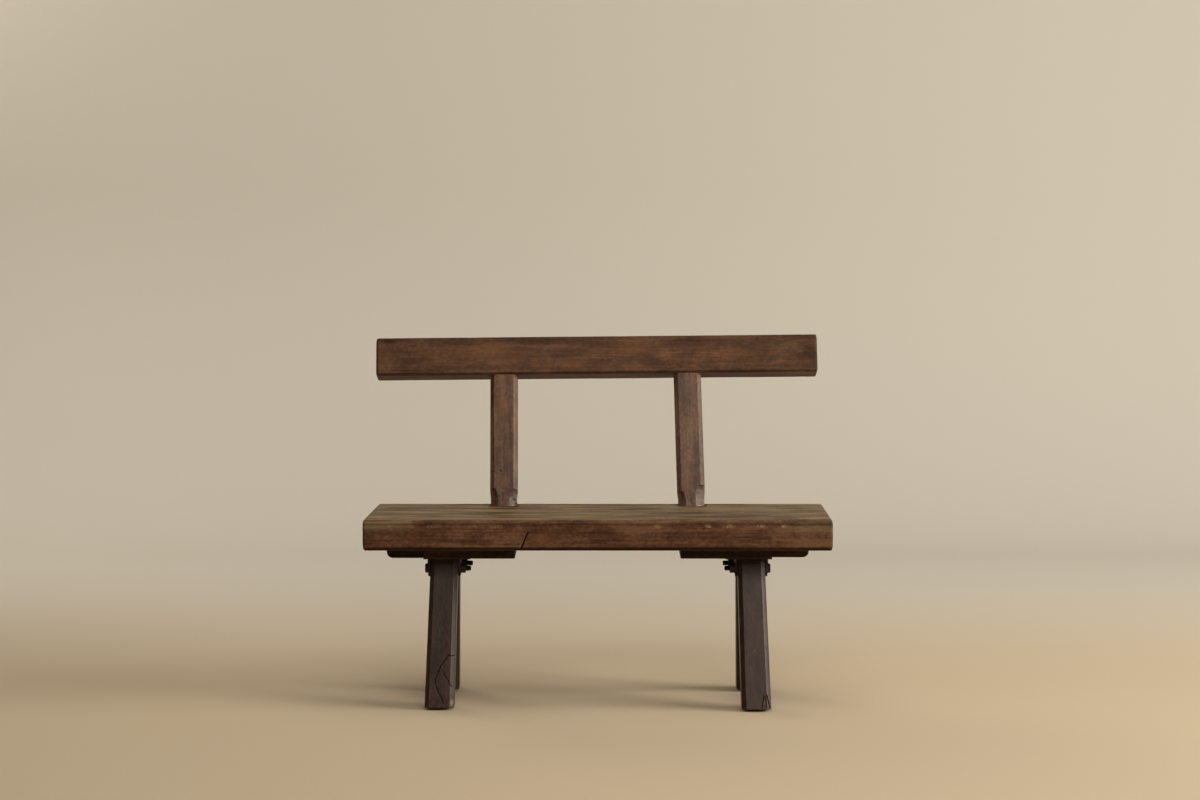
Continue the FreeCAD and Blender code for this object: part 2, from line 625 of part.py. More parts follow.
# Each bolt runs inboard from its head, with a washer and nut on the inner ear.
bolt_spots = []
washer_spots = []
nut_spots = []
for _, side, end, _ in CORNERS:
    row = f"{SEAT_MIDDLE} + {end} * Sizes.bolt_row"
    inward = f"rotation(vector(0; 1; 0); {side} * -90)"
    for spots, start in (
        (bolt_spots, EAR_OUT),
        (washer_spots, EAR_IN),
        (nut_spots, f"({EAR_IN} - Sizes.washer_thick)"),
    ):
        spots.append(f"placement(vector({side} * {start}; {row}; Sizes.bolt_up); {inward})")
group_of("leg_bolts", bolt_master(), bolt_spots)
washer = tube("washer_master", "Sizes.washer_across", "Sizes.bolt_hole", "Sizes.washer_thick")
group_of("leg_washers", washer, washer_spots)
group_of("leg_nuts", nut_master(), nut_spots)

cut_by("seat_slab", slab, [posts["left"], posts["right"], seat_peg_group, screw_holes["board"]])
cut_by("left_post", posts["left"], [seat_pegs[0], rail_pegs[0]])
cut_by("right_post", posts["right"], [seat_pegs[1], rail_pegs[1]])
cut_by("back_rail", beam, [posts["left"], posts["right"], rail_peg_group])
for side, sign in SIDES:
    blank = board_blank(f"{side}_board_blank", sign)
    cut_by(f"{side}_mounting_board", blank, [screw_holes["board"], screw_holes["bracket"]])
for corner, side, end, reach in CORNERS:
    leg(f"{corner}_leg", side, end, reach)
    cut_by(f"{corner}_bracket", bracket_blank(f"{corner}_bracket_blank", side, end), [screw_holes["bracket"]])
    cut_by(f"{corner}_pad", pad_blank(f"{corner}_pad_blank", side, end, reach), [screw_holes["pad"]])

doc.recompute()

NODES = ["seat_slab", "left_post", "right_post", "back_rail", "seat_pegs", "rail_pegs"]
NODES += [f"{side}_mounting_board" for side, _ in SIDES]
NODES += [f"{corner}_{piece}" for corner, *_ in CORNERS for piece in ("leg", "bracket", "pad")]
NODES += ["leg_bolts", "leg_washers", "leg_nuts", "board_screws", "bracket_screws", "pad_screws"]

for item in doc.Objects:
    if "Invalid" in item.State or "Error" in item.State:
        raise RuntimeError(f"{item.Name} failed: {item.State}")

pieces = {}
for node in NODES:
    shape = doc.getObjectsByLabel(node)[0].Shape
    if shape.isNull() or not shape.isValid():
        raise RuntimeError(f"{node} has no valid shape")
    pieces[node] = shape

os.makedirs("parts", exist_ok=True)
whole = FreeCAD.BoundBox()
for node, shape in pieces.items():
    shape.exportStep(f"parts/{node}.step")
    whole.add(shape.optimalBoundingBox())
    print(f"{node}: {len(shape.Solids)} solids, {shape.Volume / 1000:.1f} cm3")
print("box", whole)
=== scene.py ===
import math

import bmesh
import bpy
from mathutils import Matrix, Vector, noise


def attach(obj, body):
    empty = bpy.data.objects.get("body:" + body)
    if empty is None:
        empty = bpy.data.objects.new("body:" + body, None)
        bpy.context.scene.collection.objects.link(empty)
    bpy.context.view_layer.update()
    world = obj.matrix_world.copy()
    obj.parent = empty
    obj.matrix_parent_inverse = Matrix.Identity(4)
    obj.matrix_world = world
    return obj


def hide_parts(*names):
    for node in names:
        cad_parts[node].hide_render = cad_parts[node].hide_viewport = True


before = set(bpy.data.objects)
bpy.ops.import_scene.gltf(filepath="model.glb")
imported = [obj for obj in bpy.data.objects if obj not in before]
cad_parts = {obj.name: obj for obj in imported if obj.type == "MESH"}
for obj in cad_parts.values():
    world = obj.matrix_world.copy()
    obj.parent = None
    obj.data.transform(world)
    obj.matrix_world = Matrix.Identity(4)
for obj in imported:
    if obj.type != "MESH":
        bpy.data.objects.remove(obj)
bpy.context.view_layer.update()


# The seat is one thick slab of old softwood, sawn flat and stained brown. Years of
# sitting have rounded its upper edges and rubbed the stain thin along the front. It
# has a diagonal check in its front face, a small knot hole, and two through mortises.
FRONT = -236.3
SEAT_LONG = 1082.0
SEAT_DEEP = 352.0
SEAT_THICK = 72.0
SEAT_TOP = 445.0
SEAT_UNDER = SEAT_TOP - SEAT_THICK
SEAT_EDGE = 10.0
# A worn corner's power: 1 is a flat bevel and 2 is fully round.
ROUND = 2.0
BEVEL = 1.25


def clamp(value, low=0.0, high=1.0):
    return max(low, min(high, value))


def ease(value):
    """0 to 1 with a soft start and a soft stop."""
    value = clamp(value)
    return value * value * (3 - 2 * value)


def grid_lines(low, high, step, fine=(), margin=0.0, margin_step=1.0):
    """Places from low to high for a grid, closer near both ends and in the fine windows."""
    stops = {low, low + margin, high - margin, high}
    for window in fine:
        stops.update(window[:2])
    stops = sorted(stops)
    places = [low]
    for start, stop in zip(stops, stops[1:]):
        pace = margin_step if stop <= low + margin or start >= high - margin else step
        for window in fine:
            if start >= window[0] and stop <= window[1]:
                pace = min(pace, window[2])
        count = max(1, round((stop - start) / pace))
        places += [start + (stop - start) * number / count for number in range(1, count + 1)]
    return places


def spread(place, wide, left, right):
    """A place from 0 to 1 across a section, with a fifth of the grid lines in each corner."""
    if place < 0.2:
        return left * place / 0.2
    if place > 0.8:
        return wide - right * (1 - place) / 0.2
    return left + (wide - left - right) * (place - 0.2) / 0.6


def cut_corners(v, w, wide, deep, corners):
    """Bring a point of a plain rectangle in to its worn corners.

    A corner is its length across, its length through and its power. The third number
    that comes back is 1 in the middle of a corner and 0 off it.
    """
    right = v > wide / 2
    high = w > deep / 2
    across, through, power = corners[2 * high + right]
    dv = (v - wide + across) if right else (across - v)
    dw = (w - deep + through) if high else (through - w)
    if dv <= 0 or dw <= 0:
        return v, w, 0.0
    a = dv / across
    b = dw / through
    pull = max(a, b) / (a ** power + b ** power) ** (1 / power) - 1
    v += dv * pull * (1 if right else -1)
    w += dw * pull * (1 if high else -1)
    return v, w, min(a, b) / max(a, b)


def end_inset(u, low, high, radius):
    """How far a section draws in where it rounds over towards either end."""
    near = min(u - low, high - u)
    if near >= radius:
        return 0.0
    return radius - math.sqrt(max(0.0, radius ** 2 - (radius - near) ** 2))


def draw_in(v, w, wide, deep, inset):
    """Bring a section in all round by an inset."""
    v = wide / 2 + (v - wide / 2) * (1 - 2 * inset / wide)
    w = deep / 2 + (w - deep / 2) * (1 - 2 * inset / deep)
    return v, w


def hollow(u, v, w, seed, long=260.0, short=60.0):
    """0 to 1: how far saw, plane and wear have taken the surface in at a place."""
    slow = noise.noise(Vector((u / long, v / short, w / short + seed)))
    quick = noise.noise(Vector((u / 70, v / 16, w / 16 + seed * 3.7)))
    return clamp(0.5 + 0.55 * slow + 0.22 * quick)


def groove(x, y, path, half):
    """1 on a line of points and 0 a half width off it."""
    best = 0.0
    for (ax, ay), (bx, by) in zip(path, path[1:]):
        dx = bx - ax
        dy = by - ay
        along = clamp(((x - ax) * dx + (y - ay) * dy) / (dx * dx + dy * dy))
        gap = math.hypot(x - ax - along * dx, y - ay - along * dy)
        best = max(best, 1 - gap / half)
    return max(0.0, best)


def patch(x, y, centre, size):
    """1 in the middle of a soft oval and 0 outside it."""
    reach = math.hypot((x - centre[0]) / size[0], (y - centre[1]) / size[1])
    return ease(1 - reach)


def put(name, data):
    """An object of that name and data, placed in the scene."""
    made = bpy.data.objects.new(name, data)
    bpy.context.scene.collection.objects.link(made)
    return made


def face_outwards(mesh):
    """Turn the faces of a closed mesh outwards."""
    work = bmesh.new()
    work.from_mesh(mesh)
    bmesh.ops.recalc_face_normals(work, faces=work.faces)
    work.to_mesh(mesh)
    work.free()


def smooth(mesh, degrees):
    """Shade a mesh smooth, but for the arrises that are sharper than an angle."""
    mesh.polygons.foreach_set("use_smooth", [True] * len(mesh.polygons))
    mesh.set_sharp_from_angle(angle=math.radians(degrees))


def stand_for(piece, node):
    """Put a piece in a CAD node's place, on the bench's one body."""
    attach(piece, "root")
    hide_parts(node)


def timber(name, us, vs, ws, shape):
    """A closed skin of quads over three lists of grid lines.

    shape turns a grid place into millimetres and four numbers of wear and painted light: rubbed with
    painted glints, dark with painted shade, grey, fresh.
    """
    last = (len(us) - 1, len(vs) - 1, len(ws) - 1)
    corner = {}
    points = []
    wear_and_painted_light = []
    for i, u in enumerate(us):
        for j, v in enumerate(vs):
            side = i in (0, last[0]) or j in (0, last[1])
            for k in (range(len(ws)) if side else (0, last[2])):
                point, marks = shape(u, v, ws[k])
                corner[i, j, k] = len(points)
                points.append(tuple(value * 0.001 for value in point))
                wear_and_painted_light.extend(clamp(mark) for mark in marks)
    faces = []
    for axis in range(3):
        one, two = [number for number in range(3) if number != axis]
        for level in (0, last[axis]):
            for a in range(last[one]):
                for b in range(last[two]):
                    ring = []
                    for da, db in ((0, 0), (1, 0), (1, 1), (0, 1)):
                        spot = [0, 0, 0]
                        spot[axis] = level
                        spot[one] = a + da
                        spot[two] = b + db
                        ring.append(corner[tuple(spot)])
                    faces.append(ring)
    mesh = bpy.data.meshes.new(name)
    mesh.from_pydata(points, [], faces)
    face_outwards(mesh)
    mesh.attributes.new("wear_and_painted_light", "FLOAT_COLOR", "POINT").data.foreach_set("color", wear_and_painted_light)
    return put(name, mesh)


def cut_out(piece, tools):
    """Cut tools out of a piece, and take the tools away."""
    for tool in tools:
        cut = piece.modifiers.new("cut", "BOOLEAN")
        cut.operation = "DIFFERENCE"
        cut.solver = "EXACT"
        cut.object = tool
    settled = piece.evaluated_get(bpy.context.evaluated_depsgraph_get())
    mesh = bpy.data.meshes.new_from_object(settled)
    piece.modifiers.clear()
    piece.data = mesh
    for tool in tools:
        bpy.data.objects.remove(tool)


def finish_timber(piece, node, material):
    """Smooth a timber piece up to its arrises, stain it and put it in its place."""
    smooth(piece.data, 38)
    piece.data.materials.clear()
    piece.data.materials.append(material)
    stand_for(piece, node)


def shade(code):
    """A colour written as sRGB hex, as the linear colour that a shader takes."""
    channels = [int(code[start:start + 2], 16) / 255 for start in (1, 3, 5)]
    linear = [c / 12.92 if c <= 0.04045 else ((c + 0.055) / 1.055) ** 2.4 for c in channels]
    return (*linear, 1.0)


def add(tree, kind, inputs=None, **settings):
    """Add a node, its settings, and its inputs as values or as links.

    A node that is given as an input is linked from its first output in use.
    """
    made = tree.nodes.new(kind)
    for key, value in settings.items():
        setattr(made, key, value)
    for key, value in (inputs or {}).items():
        if isinstance(value, bpy.types.Node):
            value = next(socket for socket in value.outputs if socket.enabled)
        if isinstance(value, bpy.types.NodeSocket):
            tree.links.new(value, made.inputs[key])
        else:
            made.inputs[key].default_value = value
    return made


def blank_material(name):
    """A material with only its output, ready for nodes."""
    material = bpy.data.materials.new(name)
    material.use_nodes = True
    material.node_tree.nodes.clear()
    return material, material.node_tree


def stained_timber(name, stain, rubbed_and_glint, grey, turn=(0, 0, 0), along=0, seed=0.0, gloss=0.5, shine=0.2,
                   figure=(0.55, 0.75, 0.70), heart=None):
    """Old stained softwood with its grain along one axis, rubbed pale where hands and legs pass, with
    painted glints and painted shade laid on where its marks say.

    stain is dark, middle and light, and grey is the low and the worn tone of weathered wood.
    figure is how strongly streaks, blotches and mottle show, and heart is the middle of the tree.
    """
    material, tree = blank_material(name)
    place = add(tree, "ShaderNodeTexCoord").outputs["Object"]

    def grain(long, short, detail, roughness=0.55, bend=0.0):
        """A pattern whose features are long metres along the grain and short metres across it."""
        size = [short, short, short]
        size[along] = long
        laid = add(tree, "ShaderNodeMapping", {
            "Vector": place, "Location": (seed, seed * 0.37, seed * 0.61),
            "Rotation": turn, "Scale": size}, vector_type="TEXTURE")
        return add(tree, "ShaderNodeTexNoise", {
            "Vector": laid, "Scale": 1.0, "Detail": detail, "Roughness": roughness, "Distortion": bend})

    # Slow rings bent along the grain, thin streaks, stain that took unevenly, a fine
    # mottle where the plane lifted the grain, and pores.
    rings = add(tree, "ShaderNodeMath", {0: grain(1.1, 0.075, 1.5), 1: 46.0}, operation="MULTIPLY")
    rings = add(tree, "ShaderNodeMath", {0: rings}, operation="SINE")
    streaks = grain(0.20, 0.0045, 6.0, 0.62, 0.2)
    blotches = grain(0.10, 0.040, 4.0, 0.6)
    mottle = grain(0.011, 0.007, 5.0, 0.7)
    pores = grain(0.016, 0.0011, 3.0, 0.6)
    tone = 0.53 - sum(figure) / 2
    for pattern, strength in zip((streaks, blotches, mottle, rings), (*figure, 0.045)):
        tone = add(tree, "ShaderNodeMath", {0: pattern, 1: strength, 2: tone}, operation="MULTIPLY_ADD")
    stained = add(tree, "ShaderNodeValToRGB", {"Fac": tone})
    ramp = stained.color_ramp.elements
    ramp[0].position = 0.34
    ramp[0].color = shade(stain[0])
    ramp[1].position = 0.70
    ramp[1].color = shade(stain[2])
    middle = ramp.new(0.52)
    middle.color = shade(stain[1])

    marks = add(tree, "ShaderNodeAttribute", attribute_name="wear_and_painted_light")
    fresh = marks.outputs["Alpha"]
    rub, dark_and_painted_shade, weathered = add(tree, "ShaderNodeSeparateColor", {"Color": marks}).outputs

    # Grey wear lies in long smears. It is the first of the layers over the stain.
    smears = add(tree, "ShaderNodeMapRange", {
        "Value": grain(0.19, 0.030, 6.0, 0.66), "From Min": 0.37, "From Max": 0.62,
        "To Min": -0.15, "To Max": 0.6}, interpolation_type="SMOOTHSTEP")
    smears = add(tree, "ShaderNodeMath", {0: mottle, 1: 0.5, 2: smears}, operation="MULTIPLY_ADD")
    worn = add(tree, "ShaderNodeMix", {
        "Factor": smears, 6: shade(grey[0]), 7: shade(grey[1])}, data_type="RGBA")
    patchy = add(tree, "ShaderNodeMapRange", {
        "Value": blotches, "From Min": 0.35, "From Max": 0.6, "To Min": 0.7, "To Max": 1.0},
        interpolation_type="SMOOTHSTEP")
    patchy = add(tree, "ShaderNodeMath", {0: weathered, 1: patchy}, operation="MULTIPLY")
    layers = [(patchy, worn)]

    if heart:
        # A sawn end shows the year rings as arcs round the heart, 6 mm apart because the real
        # 3 mm is too fine to show, and its open pores have drunk more of the stain.
        across = [1.0, 1.0, 1.0]
        across[along] = 0.0
        away = add(tree, "ShaderNodeVectorMath", {0: place, 1: heart}, operation="SUBTRACT")
        away = add(tree, "ShaderNodeVectorMath", {0: away, 1: across}, operation="MULTIPLY")
        away = add(tree, "ShaderNodeVectorMath", {0: away}, operation="LENGTH")
        wander = add(tree, "ShaderNodeMath", {0: grain(1.0, 0.045, 3.0), 1: 5.0}, operation="MULTIPLY")
        year = add(tree, "ShaderNodeMath", {0: away, 1: 1 / 0.006, 2: wander}, operation="MULTIPLY_ADD")
        year = add(tree, "ShaderNodeMath", {0: year}, operation="FRACT")
        late = 1.0
        for low, high in ((0.25, 0.85), (1.0, 0.93)):
            slope = add(tree, "ShaderNodeMapRange", {
                "Value": year, "From Min": low, "From Max": high}, interpolation_type="SMOOTHSTEP")
            late = add(tree, "ShaderNodeMath", {0: slope, 1: late}, operation="MULTIPLY")
        early = add(tree, "ShaderNodeMath", {0: late, 1: -0.5, 2: 0.3}, operation="MULTIPLY_ADD")
        early = add(tree, "ShaderNodeMath", {0: blotches, 1: 0.5, 2: early},
                    operation="MULTIPLY_ADD", use_clamp=True)
        sawn = add(tree, "ShaderNodeMix", {
            "Factor": early, 6: shade(stain[0]), 7: shade(stain[2])}, data_type="RGBA")
        normal = add(tree, "ShaderNodeNewGeometry").outputs["Normal"]
        facing = add(tree, "ShaderNodeSeparateXYZ", {"Vector": normal}).outputs[along]
        facing = add(tree, "ShaderNodeMath", {0: facing}, operation="ABSOLUTE")
        at_end = add(tree, "ShaderNodeMapRange", {
            "Value": facing, "From Min": 0.6, "From Max": 0.85, "To Max": 0.85},
            interpolation_type="SMOOTHSTEP")
        layers.append((at_end, sawn))

    # Rubbed wood and the painted glints that share its mark break up in specks and pale a little all over,
    # pores stay dark, and the dark mark lays dark patches and painted shade in cracks, gaps and under
    # edges.
    torn = add(tree, "ShaderNodeMath", {0: mottle, 1: 0.9, 2: 0.2}, operation="MULTIPLY_ADD")
    torn = add(tree, "ShaderNodeMath", {0: fresh, 1: torn}, operation="MULTIPLY")
    specks = add(tree, "ShaderNodeMath", {
        0: rub, 1: 0.2, 2: grain(0.0020, 0.0050, 4.0, 0.65)}, operation="MULTIPLY_ADD")
    specks = add(tree, "ShaderNodeMapRange", {
        "Value": specks, "From Min": 0.62, "From Max": 0.70}, interpolation_type="SMOOTHSTEP")
    rub_and_glint_reach = add(tree, "ShaderNodeMapRange", {
        "Value": rub, "From Min": 0.0, "From Max": 0.8}, interpolation_type="SMOOTHSTEP")
    pale_specks = add(tree, "ShaderNodeMath", {0: specks, 1: rub_and_glint_reach}, operation="MULTIPLY")
    pale = add(tree, "ShaderNodeMath", {0: rub, 1: 0.12}, operation="MULTIPLY")
    open_pores = add(tree, "ShaderNodeMapRange", {
        "Value": pores, "From Min": 0.36, "From Max": 0.28, "To Max": 0.4}, interpolation_type="SMOOTHSTEP")
    layers += [(torn, shade("#7a5232")), (pale_specks, shade(rubbed_and_glint)), (pale, shade(rubbed_and_glint)),
               (open_pores, shade("#1a0f08")), (dark_and_painted_shade, shade("#120a06"))]
    skin = stained
    for amount, over in layers:
        skin = add(tree, "ShaderNodeMix", {"Factor": amount, 6: skin, 7: over}, data_type="RGBA")

    relief = streaks
    for pattern, height in ((pores, 0.35), (rings, 0.04), (mottle, 0.3), (specks, -0.3)):
        relief = add(tree, "ShaderNodeMath", {0: pattern, 1: height, 2: relief}, operation="MULTIPLY_ADD")
    bump = add(tree, "ShaderNodeBump", {"Height": relief, "Strength": 0.5, "Distance": 0.0009})
    # Thin stain under an old coat of wax, rubbed nearly matt: the gloss follows the streaks.
    sheen = add(tree, "ShaderNodeMath", {0: streaks, 1: 0.28, 2: gloss - 0.14}, operation="MULTIPLY_ADD")
    sheen = add(tree, "ShaderNodeMath", {0: dark_and_painted_shade, 1: 0.3, 2: sheen},
                operation="MULTIPLY_ADD", use_clamp=True)
    shader = add(tree, "ShaderNodeBsdfPrincipled", {
        "Base Color": skin, "Roughness": sheen, "Specular IOR Level": shine, "Normal": bump})
    add(tree, "ShaderNodeOutputMaterial", {"Surface": shader})
    return material


# The line of the check up the front face, as places across and up, and the knot hole on top.
CHECK = [(-159.3, 418.0), (-166.5, 402.0), (-177.8, 374.0)]
KNOT = (49.3, -60.7)
# Stretches under the front edge where the finish is chipped: the middle and half the length of each.
CHIPPED = [(-479, 9), (-428, 9), (-375, 24), (-285, 15), (-234, 23), (-184, 6), (137, 9), (254, 10),
           (303, 15), (375, 13), (429, 9)]
CHIPPED_UP = 431
# The left end runs out of square by this much at the back, from here outwards.
OUT_OF_SQUARE = 11
SQUARE_TO = -441


def seat_shape(u, v, w):
    """The rule for the seat: a slab worn in at its corners, and what has happened to it since."""
    low = (SEAT_EDGE, SEAT_EDGE, BEVEL)
    top = (SEAT_EDGE, SEAT_EDGE, ROUND)
    x, back, up = u, v, w
    v, w, edge = cut_corners(v, w, SEAT_DEEP, SEAT_THICK, (low, low, top, top))
    inset = end_inset(u, -SEAT_LONG / 2, SEAT_LONG / 2, 6)
    near_end = min(u + SEAT_LONG / 2, SEAT_LONG / 2 - u)
    end = ease(1 - near_end / 14)
    dented = edge * ease(noise.noise(Vector((u / 34, v / 30, 3.1))) * 2.2 - 0.35) * 1.8
    v, w = draw_in(v, w, SEAT_DEEP, SEAT_THICK, inset + 0.5 * hollow(u, v, w, 1.3) + dented)
    u -= math.copysign(end * 0.9 * hollow(v * 6, u, w * 3, 5.1), u)
    u += OUT_OF_SQUARE * v / SEAT_DEEP * ease((SQUARE_TO - u) / 100)
    y = FRONT + v
    z = SEAT_UNDER + w
    rub = 0.1 * edge + 0.25 * end * edge
    # Painted shade darkens the lower arrises, under the seat, and the ends are a little darker.
    dark = 0.75 * ease(edge * 3) * (up < 36) * ease(near_end / 12) + 0.25 * ease(1 - near_end / 7)
    grey = 0.0
    fresh = 0.0
    if up > SEAT_THICK - 0.5:
        ragged = noise.noise(Vector((u / 26, 2.0, v / 40)))
        ragged += 0.5 * noise.noise(Vector((u / 7, 5.0, v / 20)))
        grey = 0.95 * (1 - ease(edge * 2.6 + 0.7 * ragged * (edge > 0)))
        sat_on = ease((back - 130) / -120)
        rub = max(rub, 0.35 * sat_on * ease(0.6 + noise.noise(Vector((u / 60, v / 30, 4)))))
        rub = max(rub, 0.6 * patch(x, y, (-500, -190), (70, 60)), 0.6 * patch(x, y, (500, -195), (60, 50)))
        if back < 12:
            rub = max(rub, 0.55 * ease(1 - abs(edge - 0.2) / 0.3) * clamp(0.2 + 2 * ragged))
        # The knot hole is sunk in and painted with shade inside.
        hole = clamp(1 - math.hypot(x - KNOT[0], y - KNOT[1]) / 3.6)
        z -= 5.0 * ease(hole * 1.6)
        dark = max(dark, ease(hole * 2.5))
        # Painted shadow in the gap round each post's foot.
        for foot in (-225, 225):
            gap = math.hypot(max(0, abs(x - foot) - 30), max(0, abs(y - 74) - 22))
            dark = max(dark, 0.8 * ease(1.6 - gap / 5))
    elif back < 3:
        # The check is cut in and painted with shade inside.
        check = groove(x, z, CHECK, 1.5) * clamp((419 - z) / 6)
        y += 9.0 * ease(check * 1.5)
        dark = max(dark, ease(check * 1.7))
        if z < 402:
            beside = CHECK[2][0] + (z - CHECK[2][1]) * 0.39 - x
            reach = 10 * (1 - clamp((z - CHECK[2][1]) / 26))
            if 0 < beside < reach:
                y += 1.6 * ease(beside / 2)
                fresh = 0.7
                rub = 0.5
        fresh = max(fresh, 0.6 * patch(x, z, (-132, 400), (44, 26)))
        # Dark patches on the front face, a dark line under the top's rounding, and painted shade on the low
        # band at the bottom of the front.
        dark = max(dark, 0.32 * patch(x, z, (109, 403), (26, 16)), 0.42 * patch(x, z, (368, 410), (52, 22)),
                   0.22 * patch(x, z, (-60, 425), (60, 12)), 0.42 * ease(1 - abs(z - 435) / 6),
                   0.5 * ease((380 - z) / 8))
        grey = 0.8 * ease((z - 412) / 18) * ease((abs(x) - 400) / 60)
        for middle, half in CHIPPED:
            chip = patch(x, z, (middle, CHIPPED_UP), (half + 6, 8))
            rub = max(rub, (0.7 if middle > 0 else 0.5) * ease(1.5 * chip))
    return (u, y, z), (rub, dark, grey, fresh)


seat_across = grid_lines(-SEAT_LONG / 2, SEAT_LONG / 2, 4.6, fine=[(-184, -156, 0.9), (44, 55, 1.0)],
                         margin=6, margin_step=0.9)
seat_back = grid_lines(0, SEAT_DEEP, 6.0, fine=[(171, 180, 1.2)], margin=SEAT_EDGE, margin_step=1.7)
seat_up = grid_lines(0, SEAT_THICK, 1.7, margin=SEAT_EDGE, margin_step=1.7)
seat = timber("worn_seat_slab", seat_across, seat_back, seat_up, seat_shape)


# Two posts of the same softwood lean back 18 degrees. Each is bevelled on its four long
# edges, whittled with a knife at the foot so that it enters a mortise in the seat, and
# shouldered under the rail, where a tenon goes up into it. The right one leans a little.
RECLINE = math.radians(18)
POST_BACK = 290.0
POST_WIDE = 63.5
POST_DEEP = 48.0
MORTISE_LONG = 70.0
RAIL_UP = 328.0
RAIL_TILT = math.radians(0.55)
RAIL_X = -2.7
TENON_LONG = 45.0
# The tenon's first grid line, just past the shoulder's.
TENON_FROM = RAIL_UP + 0.2


def on_back(x, s, n):
    """A point of the reclined back: across, up the slope, and back from the posts' front faces."""
    return (x, FRONT + POST_BACK + s * math.sin(RECLINE) + n * math.cos(RECLINE),
            SEAT_TOP + s * math.cos(RECLINE) - n * math.sin(RECLINE))


def post_shape(foot_x, lean, facets, seed, marks):
    """The rule for one post: a plain bevel above, and a whittled facet at each side of the foot.

    A facet is its full width, the height where it starts, and how sharply it starts.
    """
    slope = math.tan(RAIL_TILT)

    def shape(u, v, w):
        wide = POST_WIDE + 3.0 * ease((u - 20) / 22)
        rub = 0.0
        dark = 0.0
        fresh = 0.0
        if u <= RAIL_UP:
            cuts = []
            step = 0.0
            for number, (full, start, crisp) in enumerate(facets):
                grow = 0.0
                if u < start:
                    grow = crisp + (1 - crisp) * math.sqrt(clamp((start - u) / 22))
                    if (v > 0.5) == bool(number) and w < 0.5:
                        step = crisp * 2.0 * ease(1 - (start - u) / 14)
                cuts.append((10 + (full - 10) * grow, 10 + 4 * grow, 1.05 - 0.12 * grow))
            left, right = cuts
            deep = left[1] if v < 0.5 else right[1]
            v = spread(v, wide, left[0], right[0])
            w = spread(w, POST_DEEP, deep, deep)
            front = w < POST_DEEP / 2
            v, w, edge = cut_corners(v, w, wide, POST_DEEP, (left, right, left, right))
            rub = 0.12 * edge + 0.35 * clamp(1 - abs(edge - 0.1) * 8) * clamp(
                noise.noise(Vector((u / 30, v / 10, seed))) * 2)
            worn = 0.45 * hollow(u, v, w, seed, 200, 40) + step * edge
            worn += 1.8 * ease((u - RAIL_UP + 8) / 8)
            if u < 44:
                worn += 0.9 * clamp(noise.noise(Vector((u / 9, v / 8, w / 9 + seed))))
                # Painted shade lies where a facet steps in.
                dark = 0.3 * edge * ease(step)
            v, w = draw_in(v, w, wide, POST_DEEP, worn)
            across = v - wide / 2
            for kind, at, size, amount in marks if front else ():
                spot = patch(across, u, at, size)
                # A cut is carved in and painted with shade inside.
                if kind == "cut":
                    v -= math.copysign(3.0 * spot * edge, across)
                    w += 2.0 * spot
                    dark = max(dark, amount * spot)
                elif kind == "dark":
                    dark = max(dark, amount * spot)
                elif kind == "fresh":
                    fresh = max(fresh, amount * spot)
                else:
                    rub = max(rub, amount * spot)
        else:
            across = (v - 0.5) * 38
            w = POST_DEEP / 2 + (w - 0.5) * 24
        foot = (MORTISE_LONG - w * math.sin(RECLINE)) / math.cos(RECLINE)
        top = RAIL_UP + (foot_x + across * math.cos(lean) - RAIL_X) * slope + across * math.sin(lean)
        top /= math.cos(lean) - math.sin(lean) * slope
        if u < 0:
            s = u / MORTISE_LONG * foot
        elif u <= RAIL_UP:
            s = u / RAIL_UP * top
        else:
            s = top + u - TENON_FROM
        x = foot_x + across * math.cos(lean) + s * math.sin(lean)
        s = s * math.cos(lean) - across * math.sin(lean)
        return on_back(x, s, w), (rub, dark, 0.12, fresh)

    return shape


# Marks on the front of each post: the kind, the place across and up, the size, and the strength.
# At the whittled feet some dark marks paint shade and some rub marks paint highlights.
LEFT_MARKS = [
    ("cut", (-8, 87), (3.5, 3), 1.0), ("dark", (-29, 86), (11, 1.8), 0.9),
    ("fresh", (2, 60), (16, 40), 0.5), ("rub", (4, 190), (9, 80), 0.22),
    ("fresh", (-4, 250), (14, 50), 0.6), ("cut", (24, 18), (4, 3), 0.8),
    ("cut", (29, 8), (5, 4), 0.9), ("dark", (-18, 120), (10, 60), 0.25),
    # A painted highlight at the foot of the right facet, and painted shade at its top.
    ("rub", (22, 2), (9, 3), 0.8), ("dark", (20, 36), (6, 5), 0.4),
    ("cut", (-21, 15), (3, 2), 1.0), ("cut", (-21, 8), (3.5, 2), 1.0),
    # Painted shade on the left facet, and a painted highlight on the right facet.
    ("dark", (-20, 34), (8, 10), 0.45), ("rub", (24, 14), (7, 10), 0.3),
]
RIGHT_MARKS = [
    ("rub", (4, 120), (9, 60), 0.22), ("rub", (6, 95), (4, 9), 0.4),
    ("fresh", (-6, 60), (18, 60), 0.5), ("dark", (14, 150), (7, 50), 0.25),
    # Painted shade on the left facet.
    ("dark", (-20, 33), (9, 9), 0.35), ("fresh", (2, 210), (20, 80), 0.2),
    # Painted shade at the top of the right facet and along its edge, and a painted highlight at its foot.
    ("dark", (24, 45), (13, 8), 0.6), ("rub", (20, 2), (10, 3), 0.9),
    ("dark", (9.5, 12), (2.2, 26), 0.6),
]
POST_LINES = [-MORTISE_LONG + 10 * step for step in range(6)]
POST_LINES += grid_lines(-10, 60, 1.4)
POST_LINES += grid_lines(60, RAIL_UP, 3.4, fine=[(80, 94, 1.2)])[1:]
POST_LINES += [TENON_FROM, 340, 356, TENON_FROM + TENON_LONG]
POST_ACROSS = grid_lines(0, 1, 0.03, margin=0.2, margin_step=0.034)

# Each stain is its dark, middle and light tone. The right post's has faded most.
seat_stain = ("#3a2315", "#543725", "#6a4c36")
rail_stain = ("#321d10", "#4a2e1b", "#614129")
faded_stain = ("#3e2b1f", "#563f30", "#715442")
post_rubbed_and_glint = "#a8937e"
post_grey = ("#5c4c3e", "#7d6b5a")
